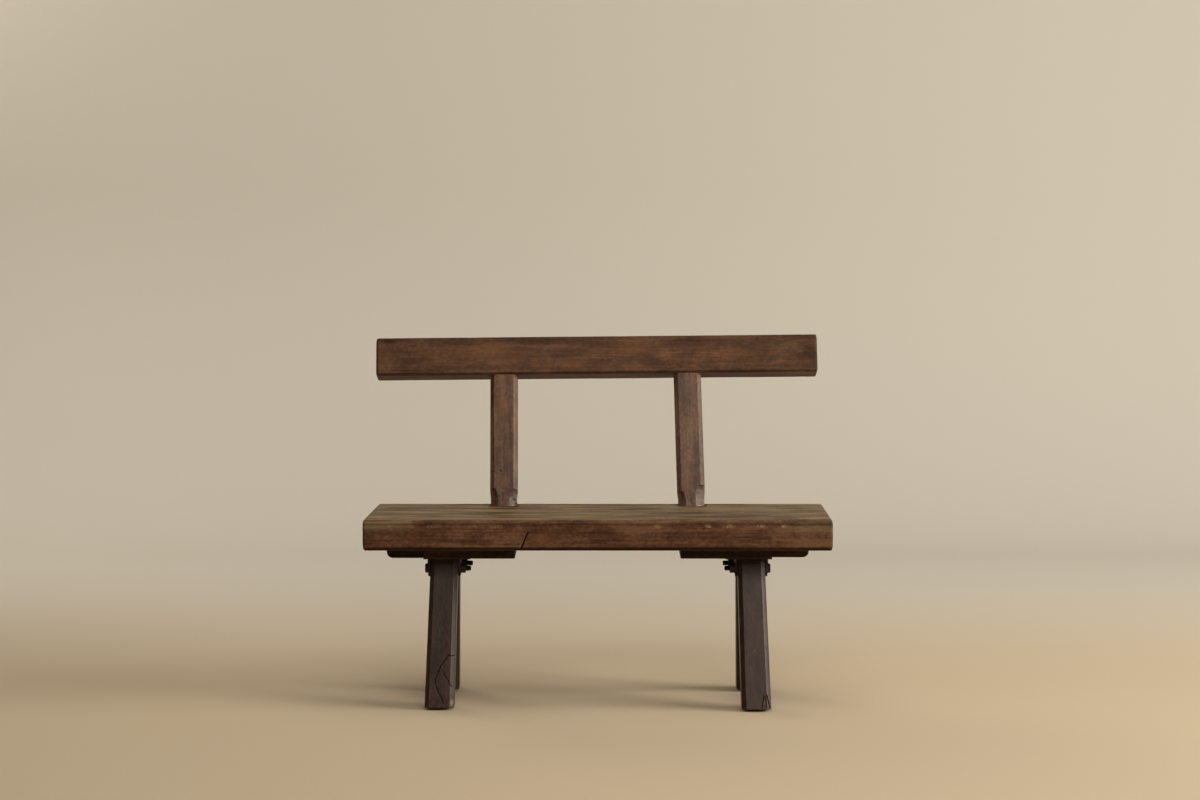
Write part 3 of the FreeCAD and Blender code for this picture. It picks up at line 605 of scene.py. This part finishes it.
# Where each post's foot is, how far it leans, its two facets, and its seed, marks and stain.
POSTS = {
    "left": (-225.5, math.radians(-0.4), ((18, 44, 0.4), (19, 42, 0.0)), 2.2, LEFT_MARKS,
             ("#382215", "#523723", "#6c4d32")),
    "right": (224.8, math.radians(-1.44), ((18, 38, 0.0), (23, 51, 0.35)), 7.9, RIGHT_MARKS,
              faded_stain),
}
for side, (x, lean, facets, seed, marks, stain) in POSTS.items():
    shape = post_shape(x, lean, facets, seed, marks)
    post = timber(f"{side}_back_post", POST_LINES, POST_ACROSS, POST_ACROSS, shape)
    finish_timber(post, f"{side}_post", stained_timber(
        f"{side}_post_stained_softwood", stain, post_rubbed_and_glint, post_grey,
        turn=(-RECLINE, 0, 0), along=2, seed=seed, gloss=0.42))


def mortise_tool(side, low, high, outline):
    """A bar along a post's axis that cuts a mortise with an outline, given across and through."""
    foot_x, lean = POSTS[side][:2]
    count = len(outline)
    corners = []
    for s in (low, high):
        for u, n in outline:
            x = foot_x + u * math.cos(lean) + s * math.sin(lean)
            place = on_back(x, s * math.cos(lean) - u * math.sin(lean), n)
            corners.append([value * 0.001 for value in place])
    faces = [tuple(reversed(range(count))), tuple(range(count, 2 * count))]
    faces += [(k, (k + 1) % count, count + (k + 1) % count, count + k) for k in range(count)]
    mesh = bpy.data.meshes.new("mortise_tool")
    mesh.from_pydata(corners, [], faces)
    return put("mortise_tool", mesh)


# The mortises in the seat follow the whittled feet, with 0.6 mm of room all round.
foot_tools = []
for side, (_, _, (left, right), *_) in POSTS.items():
    half = POST_WIDE / 2 + 0.6
    near = -0.6
    far = POST_DEEP + 0.6
    foot_tools.append(mortise_tool(side, -110, 60, [
        (-half + left[0], near), (half - right[0], near), (half, near + 14), (half, far - 14),
        (half - right[0], far), (-half + left[0], far), (-half, far - 14), (-half, near + 14)]))
cut_out(seat, foot_tools)
finish_timber(seat, "seat_slab", stained_timber(
    "seat_stained_softwood", seat_stain, "#a08a66", ("#352618", "#83704f"),
    along=0, seed=0.4, gloss=0.55, shine=0.1, heart=(0, -0.03, 0.33)))


# The back rail is one heavy beam of the same softwood, laid along the posts and leaning
# back with them. Its corners are worn round, it is rubbed where backs and hands meet it,
# and each post's tenon goes up into a mortise in its underside.
RAIL_LONG = 1071.0
RAIL_HIGH = 95.0
RAIL_DEEP = 61.0
RAIL_EDGE = 9.0


def rail_shape(u, v, w):
    """The rule for the rail: along it, up its face, and back from its face."""
    x, up, deep = u, v, w
    worn = (RAIL_EDGE, RAIL_EDGE, ROUND)
    v, w, edge = cut_corners(v, w, RAIL_HIGH, RAIL_DEEP, ((5, 5, 1.6), worn, worn, worn))
    inset = end_inset(u, -RAIL_LONG / 2, RAIL_LONG / 2, 6)
    near_end = min(u + RAIL_LONG / 2, RAIL_LONG / 2 - u)
    end = ease(1 - near_end / 16)
    dented = edge * ease(noise.noise(Vector((u / 40, v / 30, 8.1))) * 2.0 - 0.4) * 1.5
    v, w = draw_in(v, w, RAIL_HIGH, RAIL_DEEP, inset + 0.5 * hollow(u, v, w, 6.3) + dented)
    u -= math.copysign(end * 0.9 * hollow(v * 6, u, w * 3, 2.6), u)
    dark = 0.3 * ease(1 - near_end / 9)
    rub = 0.1 * edge
    fresh = 0.0
    if deep < 4:
        dark = max(dark, 0.6 * ease(1 - abs(up - 3) / 4), 0.25 * ease((up - 74) / 20))
        dark = max(dark, 0.7 * patch(x, up, (-505, 84), (40, 10)), 0.3 * patch(x, up, (-440, 40), (60, 24)),
                   0.3 * patch(x, up, (250, 80), (160, 20)), 0.4 * patch(x, up, (515, 62), (30, 30)))
        rub = max(rub, 0.34 * patch(x, up, (470, 55), (60, 34)), 0.2 * patch(x, up, (-90, 40), (150, 30)))
        fresh = max(0.5 * patch(x, up, (-300, 50), (220, 36)), 0.4 * patch(x, up, (80, 60), (160, 30)),
                    0.7 * patch(x, up, (160, 48), (40, 22)), 0.6 * patch(x, up, (-60, 24), (90, 18)),
                    0.5 * patch(x, up, (330, 50), (90, 24)))
    s = RAIL_UP + u * math.sin(RAIL_TILT) + v * math.cos(RAIL_TILT)
    x = RAIL_X + u * math.cos(RAIL_TILT) - v * math.sin(RAIL_TILT)
    return on_back(x, s, w), (rub, dark, 0.1 * (noise.noise(Vector((u / 90, v / 20, 1))) + 1), fresh)


rail = timber("worn_back_rail", grid_lines(-RAIL_LONG / 2, RAIL_LONG / 2, 4.6, margin=6, margin_step=0.9),
              grid_lines(0, RAIL_HIGH, 3.0, fine=[(0, 5, 1.25)], margin=RAIL_EDGE, margin_step=1.5),
              grid_lines(0, RAIL_DEEP, 3.2, fine=[(0, 5, 1.25)], margin=RAIL_EDGE, margin_step=1.5),
              rail_shape)
tenon_hole = [(across, POST_DEEP / 2 + through)
              for across, through in ((-19.5, -12.5), (19.5, -12.5), (19.5, 12.5), (-19.5, 12.5))]
cut_out(rail, [mortise_tool(side, RAIL_UP - 20, RAIL_UP + TENON_LONG + 4, tenon_hole) for side in POSTS])
finish_timber(rail, "back_rail", stained_timber(
    "rail_stained_softwood", rail_stain, "#9a7d5c", ("#4f402e", "#6e5c45"),
    along=0, seed=5.2, gloss=0.5, shine=0.13, heart=(0, 0.188, 0.805)))


# Four legs taper up from the floor and splay front to back. They are stained darker than
# the seat, bevelled on their long edges, and split and chipped at the feet.
LEG_FOOT = 5.0
LEG_HEAD = 343.0
LEG_WIDE_LOW = 68.5
LEG_WIDE_HIGH = 64.0
BOLT_UP = 317.0
# The legs' middle line from front to back, and how far each row's bolts are from it.
LEG_MIDDLE = -60.3
BOLT_ROW = 47.0


def leg_shape(side, end, reach, seed, cracks, spots):
    """The rule for one leg: a bevelled section that grows and moves out towards the floor."""
    def shape(u, v, w):
        wide = LEG_WIDE_LOW + (LEG_WIDE_HIGH - LEG_WIDE_LOW) * (u - LEG_FOOT) / (LEG_HEAD - LEG_FOOT)
        deep = wide * 1.03
        v = spread(v, wide, 10, 10)
        w = spread(w, deep, 10, 10)
        nose = w if end < 0 else deep - w
        v, w, edge = cut_corners(v, w, wide, deep, ((10, 10, 1.06),) * 4)
        drop = (BOLT_UP - u) / (BOLT_UP - LEG_FOOT)
        foot = ease((26 - u) / 24)
        worn = 0.5 * hollow(u, v, w, seed, 180, 40) + end_inset(u, LEG_FOOT, LEG_HEAD, 2.0)
        worn += foot * edge * 2.2 * clamp(noise.noise(Vector((v / 8, w / 8, seed))) + 0.2)
        rub = 0.1 * edge + 0.3 * edge * foot + 0.35 * clamp(1 - abs(edge - 0.1) * 8) * clamp(
            noise.noise(Vector((u / 30, v / 10, seed))) * 2)
        # Painted shade darkens the top of each leg, under the seat.
        dark = 0.35 * ease((u - 280) / 40)
        v, w = draw_in(v, w, wide, deep, worn)
        x = side * (358.8 + 8.2 * drop) + v - wide / 2
        y = LEG_MIDDLE + end * (BOLT_ROW + (79 + reach) * drop) + (w - deep / 2)
        if nose < 11:
            # The cracks are cut in and painted with shade inside.
            stray = 1.3 * noise.noise(Vector((x / 5, u / 7, seed)))
            split = max([groove(x + stray, u, path, half) for path, half in cracks] + [0.0])
            y -= end * 3.0 * ease(split * 1.4)
            dark = max(dark, 0.95 * ease(split * 1.5))
            for at, size, amount in spots:
                rub = max(rub, amount * patch(x, u, at, size))
        return (x, y, u), (rub, dark, 0.1, 0.0)

    return shape


# Cracks up the front of the front legs: each is a line across and up, and half its width.
FRONT_LEFT_CRACKS = [
    ([(-343.9, 127), (-352, 116), (-363, 100.5), (-369, 86), (-375.3, 70.7), (-376.5, 60), (-370, 44),
      (-360.5, 27.5), (-357, 16)], 0.8),
    ([(-361.4, 93), (-350, 72), (-338.4, 54)], 0.75), ([(-343.9, 123.2), (-329, 123.5)], 0.75),
]
FRONT_RIGHT_CRACKS = [
    ([(384, 36), (381, 24), (379, 10)], 1.1), ([(388, 32), (388.5, 10)], 0.9),
    ([(390, 38), (394, 22), (398, 8)], 1.2),
]
leg_stain = ("#1b1008", "#2d1b11", "#3f291c")
# Each leg's side and end, how much further its foot reaches, its seed, cracks and rubbed
# spots, and where its grid is fine.
LEGS = {
    "front_left": (-1, -1, 0, 3.3, FRONT_LEFT_CRACKS,
                   [((-338, 18), (9, 18), 1.0), ((-334, 120), (3, 8), 0.7)], [(8, 130, 1.15)]),
    "front_right": (1, -1, 20, 9.1, FRONT_RIGHT_CRACKS,
                    [((364, 137), (4, 6), 1.0), ((388, 20), (12, 16), 0.7)], [(7, 40, 1.1)]),
    "rear_left": (-1, 1, 0, 4.7, [], [], []),
    "rear_right": (1, 1, 0, 6.4, [], [], []),
}
for corner, (side, end, reach, seed, cracks, spots, fine) in LEGS.items():
    along = grid_lines(LEG_FOOT, LEG_HEAD, 3.6, fine=fine, margin=2, margin_step=0.5)
    across = grid_lines(0, 1, 0.016 if cracks else 0.035, margin=0.2, margin_step=0.034)
    leg = timber(f"{corner}_leg_timber", along, across, across,
                 leg_shape(side, end, reach, seed, cracks, spots))
    finish_timber(leg, f"{corner}_leg", stained_timber(
        f"{corner}_leg_dark_stained_softwood", leg_stain, "#86725d", ("#3c322b", "#5b4d42"),
        along=2, seed=seed, gloss=0.38, shine=0.23, figure=(0.95, 0.5, 0.4)))


# Two mounting boards of thin sawn softwood are screwed under the seat and carry the
# leg brackets. They are stained very dark and rounded at the lower outboard edge.
BOARD_INNER = 192.0
BOARD_OUTER = 489.5
BOARD_DEEP = 236.0
BOARD_THICK = 25.0
BOARD_UNDER = SEAT_UNDER - BOARD_THICK
BOARD_NOSE = 15.0


def board_shape(side, seed):
    """The rule for one board: its outboard end is planed thinner and set back a little."""
    def shape(u, v, w):
        back, up = v, w
        inset = 0.25 * hollow(u, v, w, seed, 140, 24) + end_inset(u, BOARD_INNER, BOARD_OUTER, 1.5)
        v, w, edge = cut_corners(v, w, BOARD_DEEP, BOARD_THICK, ((2, 2, 1.4),) * 4)
        v, w = draw_in(v, w, BOARD_DEEP, BOARD_THICK, inset)
        rebate = ease((u - 403) / 1.6)
        w = BOARD_THICK - (BOARD_THICK - w) * (1 - (0.025 if side < 0 else 0.1) * rebate)
        v += 7 * rebate * ease((60 - v) / 60)
        if side < 0 and back < 8 and up < 8:
            w += 5.0 * ease(1 - abs(u - 404.5) / 2.4)
        nose = u - BOARD_OUTER + BOARD_NOSE
        if nose > 0:
            lift = BOARD_NOSE - math.sqrt(max(0.0, BOARD_NOSE ** 2 - nose ** 2))
            w = lift + w * (BOARD_THICK - lift) / BOARD_THICK
        # Painted shade darkens the left board's outer end, which is set back.
        dark = 0.45 * rebate * (side < 0)
        rub = 0.3 * edge * clamp(noise.noise(Vector((u / 12, v / 8, w / 8))) * 3)
        return (side * u, FRONT + 58 + v, BOARD_UNDER + w), (rub, dark, 0.0, 0.0)

    return shape


board_stain = ("#1c0f06", "#2c1a0c", "#3d2713")
for side, sign in (("left", -1), ("right", 1)):
    out = grid_lines(BOARD_INNER, BOARD_OUTER, 4, fine=[(400, 408, 0.8)],
                     margin=BOARD_NOSE, margin_step=0.9)
    back = grid_lines(0, BOARD_DEEP, 5, fine=[(2, 10, 1.6)], margin=2, margin_step=0.5)
    up = grid_lines(0, BOARD_THICK, 2.0, margin=2, margin_step=0.5)
    board = timber(f"{side}_sawn_mounting_board", out, back, up, board_shape(sign, 3 + sign))
    finish_timber(board, f"{side}_mounting_board", stained_timber(
        f"{side}_board_dark_softwood", board_stain, "#75603f", ("#33261a", "#4a3a28"),
        along=0, seed=2.0 + sign, gloss=0.6, shine=0.15, heart=(0, -0.09, 0.27)))


# A steel bracket clasps the top of each leg: a plate screwed up into the board, and two
# ears with rounded ends, welded on along their outer feet.
def dark_steel(name, bare, rust):
    """Mild steel gone dark with age: a dull metal gleam, broken by matt brown clouds of rust.

    The clouds are about 18 mm across, and the grit that roughens it about 1 mm.
    """
    material, tree = blank_material(name)
    place = add(tree, "ShaderNodeTexCoord").outputs["Object"]
    cloud = add(tree, "ShaderNodeTexNoise", {
        "Vector": place, "Scale": 55.0, "Detail": 6.0, "Roughness": 0.65})
    grit = add(tree, "ShaderNodeTexNoise", {"Vector": place, "Scale": 900.0, "Detail": 2.0})
    rusted = add(tree, "ShaderNodeMapRange", {"Value": cloud, "From Min": 0.44, "From Max": 0.6})
    colour = add(tree, "ShaderNodeMix", {
        "Factor": rusted, 6: shade(bare), 7: shade(rust)}, data_type="RGBA")
    metal = add(tree, "ShaderNodeMath", {0: 1.0, 1: rusted}, operation="SUBTRACT")
    rough = add(tree, "ShaderNodeMath", {0: rusted, 1: 0.35, 2: 0.42}, operation="MULTIPLY_ADD")
    bump = add(tree, "ShaderNodeBump", {"Height": grit, "Strength": 0.4, "Distance": 0.0002})
    shader = add(tree, "ShaderNodeBsdfPrincipled", {
        "Base Color": colour, "Metallic": metal, "Roughness": rough, "Normal": bump})
    add(tree, "ShaderNodeOutputMaterial", {"Surface": shader})
    return material


def softened(name, node, offset, material):
    """A plain piece in a CAD node's place, the same shape with its sharp edges eased."""
    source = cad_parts[node]
    mesh = source.data.copy()
    mesh.name = name
    mesh.transform(source.matrix_world)
    low = [min(vertex.co[axis] for vertex in mesh.vertices) for axis in range(3)]
    high = [max(vertex.co[axis] for vertex in mesh.vertices) for axis in range(3)]
    work = bmesh.new()
    work.from_mesh(mesh)
    bmesh.ops.remove_doubles(work, verts=work.verts, dist=0.00001)
    bmesh.ops.dissolve_limit(work, angle_limit=math.radians(1), verts=work.verts, edges=work.edges)
    sharp = [edge for edge in work.edges if edge.is_manifold and edge.calc_face_angle() > math.radians(35)]
    bmesh.ops.bevel(work, geom=sharp, offset=offset, segments=2, profile=0.6, affect="EDGES")
    for vertex in work.verts:
        for axis in range(3):
            vertex.co[axis] = clamp(vertex.co[axis], low[axis], high[axis])
    bmesh.ops.triangulate(work, faces=work.faces)
    work.to_mesh(mesh)
    work.free()
    smooth(mesh, 30)
    mesh.materials.clear()
    mesh.materials.append(material)
    stand_for(put(name, mesh), node)


bracket_steel = dark_steel("mild_steel_with_brown_bloom", "#2e2925", "#2f1b10")
for corner in LEGS:
    softened(f"{corner}_welded_bracket", f"{corner}_bracket", 0.0006, bracket_steel)


# One M12 bolt crosses each bracket and leg, its head outboard, with a washer and a nut
# on the inboard ear and the threaded end standing out. Heads and nuts are forged and
# turned to a 30 degree bevel; the thread is rolled.
HEX_ACROSS = 19.0
BEVEL_START = HEX_ACROSS * 0.48
BOLT_RADIUS = 5.98
THREAD_PITCH = 1.75
THREAD_FROM = 62.0
THREAD_TO = 99.7
# How far out from the middle of the bench the brackets' ears and the nuts' seats are.
OUTER_EAR = 396.6
INNER_EAR = 321.0
NUT_SEAT = 319.0
AROUND = 48


def hex_radius(angle):
    """The reach of a hexagon at an angle, one corner on the first axis."""
    return HEX_ACROSS / 2 / math.cos((angle % (math.pi / 3)) - math.pi / 6)


def turned(name, rings, open_bore=False):
    """A closed turned piece along Z: each ring is a rule for radius and height at an angle."""
    points = []
    for rule in rings:
        for number in range(AROUND):
            angle = 2 * math.pi * number / AROUND
            radius, height = rule(angle)
            point = (radius * math.cos(angle), radius * math.sin(angle), height)
            points.append([value * 0.001 for value in point])
    faces = []
    levels = len(rings) if open_bore else len(rings) - 1
    for level in range(levels):
        above = (level + 1) % len(rings)
        for number in range(AROUND):
            beside = (number + 1) % AROUND
            faces.append((level * AROUND + number, level * AROUND + beside,
                          above * AROUND + beside, above * AROUND + number))
    if not open_bore:
        faces.append(tuple(range(AROUND)))
        faces.append(tuple((len(rings) - 1) * AROUND + number for number in range(AROUND)))
    mesh = bpy.data.meshes.new(name)
    mesh.from_pydata(points, [], faces)
    face_outwards(mesh)
    smooth(mesh, 28)
    return bpy.data.objects.new(name, mesh)


def circle(radius, height):
    return lambda angle: (radius, height)


def hex_edge(height, lean):
    """A hexagon's edge where the bevel cuts it, leaning away from a flat at a height."""
    return lambda angle: (hex_radius(angle),
                          height + lean * max(0.0, hex_radius(angle) - BEVEL_START) * math.tan(math.pi / 6))


def thread(first, last):
    """Rings of a rolled thread, each ring climbing a pitch as it goes round."""
    rings = []
    quarters = round((last - first) / THREAD_PITCH * 4)
    for quarter in range(quarters):
        radius = (5.1, 5.75, BOLT_RADIUS, 5.75)[quarter % 4]

        def rule(angle, quarter=quarter, radius=radius):
            height = first + THREAD_PITCH * (quarter / 4 + angle / (2 * math.pi) - 1)
            near_end = max(0.0, height - last + 1.6)
            return min(radius, BOLT_RADIUS - 0.75 * near_end), clamp(height, first, last)

        rings.append(rule)
    return rings


def set_out(name, master, places, aims, roll, seed, material):
    """Stand copies of a master on points, each along its aim and rolled a little about it."""
    mesh = bpy.data.meshes.new(name)
    mesh.from_pydata([tuple(value * 0.001 for value in place) for place in places], [], [])
    mesh.attributes.new("aim", "FLOAT_VECTOR", "POINT").data.foreach_set(
        "vector", [value for aim in aims for value in aim])
    piece = put(name, mesh)
    tree = bpy.data.node_groups.new(f"{name}_set_out", "GeometryNodeTree")
    sockets = {}
    for label, kind in (("Points", "Geometry"), ("Master", "Object"), ("Roll", "Float"), ("Seed", "Int")):
        sockets[label] = tree.interface.new_socket(label, in_out="INPUT", socket_type=f"NodeSocket{kind}")
    tree.interface.new_socket("Pieces", in_out="OUTPUT", socket_type="NodeSocketGeometry")
    given = add(tree, "NodeGroupInput").outputs
    model = add(tree, "GeometryNodeObjectInfo", {"Object": given["Master"]})
    aim = add(tree, "GeometryNodeInputNamedAttribute", {"Name": "aim"}, data_type="FLOAT_VECTOR")
    turn = add(tree, "FunctionNodeAlignRotationToVector", {"Vector": aim}, axis="Z")
    least = add(tree, "ShaderNodeMath", {0: given["Roll"], 1: -1.0}, operation="MULTIPLY")
    chance = add(tree, "FunctionNodeRandomValue", data_type="FLOAT")
    floats = [socket for socket in chance.inputs if socket.enabled and socket.name in ("Min", "Max")]
    tree.links.new(least.outputs[0], floats[0])
    tree.links.new(given["Roll"], floats[1])
    tree.links.new(given["Seed"], chance.inputs["Seed"])
    about = add(tree, "FunctionNodeAxisAngleToRotation", {"Axis": (0, 0, 1), "Angle": chance})
    rolled = add(tree, "FunctionNodeRotateRotation", {
        "Rotation": turn, "Rotate By": about}, rotation_space="LOCAL")
    stood = add(tree, "GeometryNodeInstanceOnPoints", {
        "Points": given["Points"], "Instance": model.outputs["Geometry"], "Rotation": rolled})
    real = add(tree, "GeometryNodeRealizeInstances", {"Geometry": stood})
    coated = add(tree, "GeometryNodeSetMaterial", {"Geometry": real, "Material": material})
    add(tree, "NodeGroupOutput", {"Pieces": coated})
    laid = piece.modifiers.new("set_out", "NODES")
    laid.node_group = tree
    for label, value in (("Master", master), ("Roll", roll), ("Seed", seed)):
        laid[sockets[label].identifier] = value
    settled = piece.evaluated_get(bpy.context.evaluated_depsgraph_get())
    piece.data = bpy.data.meshes.new_from_object(settled)
    piece.modifiers.clear()
    bpy.data.objects.remove(master)
    return piece


fastener_steel = dark_steel("darkened_fastener_steel", "#342c26", "#3a2416")
bolt_lines = [(side, LEG_MIDDLE + end * BOLT_ROW) for side in (-1, 1) for end in (-1, 1)]
inboard = [(-side, 0, 0) for side, _ in bolt_lines]

bolt = turned("bolt_master", [
    circle(6.5, -7.0), circle(7.4, -7.5), circle(BEVEL_START, -7.5), hex_edge(-7.5, 1),
    lambda angle: (hex_radius(angle), -0.4), lambda angle: (hex_radius(angle) - 0.5, 0),
    circle(6.6, 0), circle(BOLT_RADIUS, 0.6), circle(BOLT_RADIUS, THREAD_FROM),
    *thread(THREAD_FROM, THREAD_TO), circle(4.4, THREAD_TO + 0.2)])
bolts = set_out("hex_leg_bolts", bolt, [(side * OUTER_EAR, row, BOLT_UP) for side, row in bolt_lines],
                inboard, 0.07, 4, fastener_steel)
stand_for(bolts, "leg_bolts")

washer = turned("washer_master", [
    circle(6.5, 0.2), circle(6.7, 0), circle(11.7, 0), circle(12, 0.3), circle(12, 1.7), circle(11.7, 2),
    circle(6.7, 2), circle(6.5, 1.8)], open_bore=True)
washers = set_out("leg_bolt_washers", washer,
                  [(side * INNER_EAR, row, BOLT_UP) for side, row in bolt_lines],
                  inboard, 3.0, 2, fastener_steel)
stand_for(washers, "leg_washers")

nut = turned("nut_master", [
    circle(6.0, 0.8), circle(6.7, 0), circle(BEVEL_START, 0), hex_edge(0, 1), hex_edge(10, -1),
    circle(BEVEL_START, 10), circle(6.7, 10), circle(6.0, 9.2)], open_bore=True)
nuts = set_out("leg_bolt_nuts", nut, [(side * NUT_SEAT, row, BOLT_UP) for side, row in bolt_lines],
               inboard, 0.2, 9, fastener_steel)
stand_for(nuts, "leg_nuts")


# Countersunk wood screws with a cross recess hold the boards, brackets and pads. They are
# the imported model's own, and wear the same darkened steel as the bolts.
for node in ("board_screws", "bracket_screws", "pad_screws"):
    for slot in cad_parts[node].material_slots:
        slot.material = fastener_steel


# Each post is pinned in the seat and in the rail by a riven peg driven in from behind
# and pared off just proud, so that its cut end shows a little pale.
PEG_RADIUS = 6.0
SEAT_PEG_LONG = 87.5
RAIL_PEG_LONG = 47.5


def peg_master(name, long):
    """A peg along Z that ends in a pared, faintly domed head with flats down its sides."""
    def rule(height, shrink):
        return lambda angle: (PEG_RADIUS - shrink - 0.22 * (0.5 - 0.5 * math.cos(9 * angle)), height)

    return turned(name, [rule(0, 1.2), rule(2, 0.2), rule(long - 1.4, 0), rule(long - 0.6, 0.25),
                         rule(long, 1.0)])


def finish_peg(piece, node):
    """Mark the pared end as rubbed, and put the pegs in their CAD node's place."""
    wear_and_painted_light = []
    furthest = max(vertex.co.y for vertex in piece.data.vertices)
    for vertex in piece.data.vertices:
        wear_and_painted_light.extend((0.6 * ease((vertex.co.y - furthest + 0.004) / 0.003), 0.0, 0.3, 0.2))
    piece.data.attributes.new("wear_and_painted_light", "FLOAT_COLOR", "POINT").data.foreach_set("color", wear_and_painted_light)
    stand_for(piece, node)


peg_wood = stained_timber("riven_peg_hardwood", faded_stain, post_rubbed_and_glint, post_grey, along=1, seed=8.8)
seat_peg_tips = [(x, 29.7, 411) for x, *_ in POSTS.values()]
seat_pegs = set_out("riven_seat_pegs", peg_master("seat_peg_master", SEAT_PEG_LONG),
                    seat_peg_tips, [(0, 1, 0)] * 2, 3.0, 5, peg_wood)
finish_peg(seat_pegs, "seat_pegs")
rise = RAIL_UP + 22
rail_peg_tips = [on_back(x + rise * math.sin(lean), rise, 15) for x, lean, *_ in POSTS.values()]
rail_pegs = set_out("riven_rail_pegs", peg_master("rail_peg_master", RAIL_PEG_LONG),
                    rail_peg_tips, [(0, math.cos(RECLINE), -math.sin(RECLINE))] * 2, 3.0, 6, peg_wood)
finish_peg(rail_pegs, "rail_pegs")


# A thin round pad of hard black rubber is screwed under each foot. Moulded rubber is
# matt and nearly black, greyed here and there by dust from the floor.
pad_rubber, tree = blank_material("black_pad_rubber")
dust = add(tree, "ShaderNodeTexNoise", {
    "Vector": add(tree, "ShaderNodeTexCoord").outputs["Object"], "Scale": 260.0, "Detail": 4.0})
tone = add(tree, "ShaderNodeValToRGB", {"Fac": dust})
tone.color_ramp.elements[0].color = shade("#0c0b0a")
tone.color_ramp.elements[1].color = shade("#2a2724")
rubber = add(tree, "ShaderNodeBsdfPrincipled", {"Base Color": tone, "Roughness": 0.8})
add(tree, "ShaderNodeOutputMaterial", {"Surface": rubber})
for corner in LEGS:
    softened(f"{corner}_rubber_pad", f"{corner}_pad", 0.0012, pad_rubber)


# A plain pale floor that sweeps up into a pale backdrop. It is matt paper, warmer near
# the bench and cooler behind it, and clear when it is seen from below.
FLOOR_REACH = 16.0
SWEEP_FROM = 2.6
SWEEP_RADIUS = 1.2
sweep = [(-FLOOR_REACH, 0.0), (SWEEP_FROM, 0.0)]
for degrees in range(5, 91, 5):
    turn = math.radians(degrees)
    sweep.append((SWEEP_FROM + SWEEP_RADIUS * math.sin(turn), SWEEP_RADIUS - SWEEP_RADIUS * math.cos(turn)))
sweep.append((SWEEP_FROM + SWEEP_RADIUS, 7.0))
floor_mesh = bpy.data.meshes.new("studio_floor")
floor_mesh.from_pydata([(x, y, z) for y, z in sweep for x in (-FLOOR_REACH, FLOOR_REACH)], [],
                       [(2 * k, 2 * k + 1, 2 * k + 3, 2 * k + 2) for k in range(len(sweep) - 1)])
floor_mesh.polygons.foreach_set("use_smooth", [True] * len(floor_mesh.polygons))
floor = put("studio_floor", floor_mesh)
paper, tree = blank_material("pale_floor_paper")
where = add(tree, "ShaderNodeTexCoord").outputs["Object"]
cloud = add(tree, "ShaderNodeTexNoise", {"Vector": where, "Scale": 0.7, "Detail": 2.0})
depth = add(tree, "ShaderNodeSeparateXYZ", {"Vector": where}).outputs["Y"]
climb = add(tree, "ShaderNodeMapRange", {
    "Value": depth, "From Min": 0.1, "From Max": SWEEP_FROM}, interpolation_type="SMOOTHSTEP")
drift = add(tree, "ShaderNodeMath", {0: cloud, 1: 0.1, 2: climb}, operation="MULTIPLY_ADD")
tone = add(tree, "ShaderNodeValToRGB", {"Fac": drift})
tone.color_ramp.elements[0].color = shade("#b6a487")
tone.color_ramp.elements[1].color = shade("#c6c0b4")
matt = add(tree, "ShaderNodeBsdfPrincipled", {"Base Color": tone, "Roughness": 0.85})
clear = add(tree, "ShaderNodeBsdfTransparent")
sided = add(tree, "ShaderNodeMixShader", {
    0: add(tree, "ShaderNodeNewGeometry").outputs["Backfacing"], 1: matt, 2: clear})
add(tree, "ShaderNodeOutputMaterial", {"Surface": sided})
floor_mesh.materials.append(paper)


# Soft light comes from a window on the right, from the front and from the ceiling, with
# a weak fill from behind on the left, in a pale room.
def lamp(name, place, aim, size, power, colour):
    light = bpy.data.lights.new(name, "AREA")
    light.shape = "RECTANGLE"
    light.size, light.size_y = size
    light.energy = power
    light.color = shade(colour)[:3]
    holder = put(name, light)
    holder.location = place
    holder.rotation_euler = (Vector(aim) - Vector(place)).to_track_quat("-Z", "Y").to_euler()


lamp("window_on_the_right", (5.2, -1.3, 2.1), (0, -0.1, 0.5), (2.8, 2.4), 345, "#fffaf2")
lamp("front_softbox", (0.8, -5.2, 3.6), (0, 0, 0.5), (3.4, 2.2), 128, "#fff7ee")
lamp("ceiling_bounce", (0.4, -0.2, 4.4), (0, 0.6, 0.4), (4.0, 3.0), 66, "#fff8ee")
lamp("fill_from_behind", (-3.0, 3.1, 2.6), (0, 0, 0.5), (2.0, 1.6), 45, "#fff4e6")
room = bpy.data.worlds.new("pale_room")
room.use_nodes = True
room.node_tree.nodes["Background"].inputs["Color"].default_value = shade("#e6e0d4")
room.node_tree.nodes["Background"].inputs["Strength"].default_value = 0.11
bpy.context.scene.world = room

# The camera stands at eye level in front of the bench, where the photograph was taken,
# and looks down a little.
view = bpy.data.cameras.new("eye_level")
view.lens = 87.24
view.sensor_width = 36.0
camera = put("eye_level", view)
camera.location = (0.0136, -6.8711, 1.2177)
camera.rotation_euler = (math.radians(90 - 4.277), 0.0, math.radians(0.071))
bpy.context.scene.camera = camera
bpy.context.scene.view_settings.view_transform = "Standard"
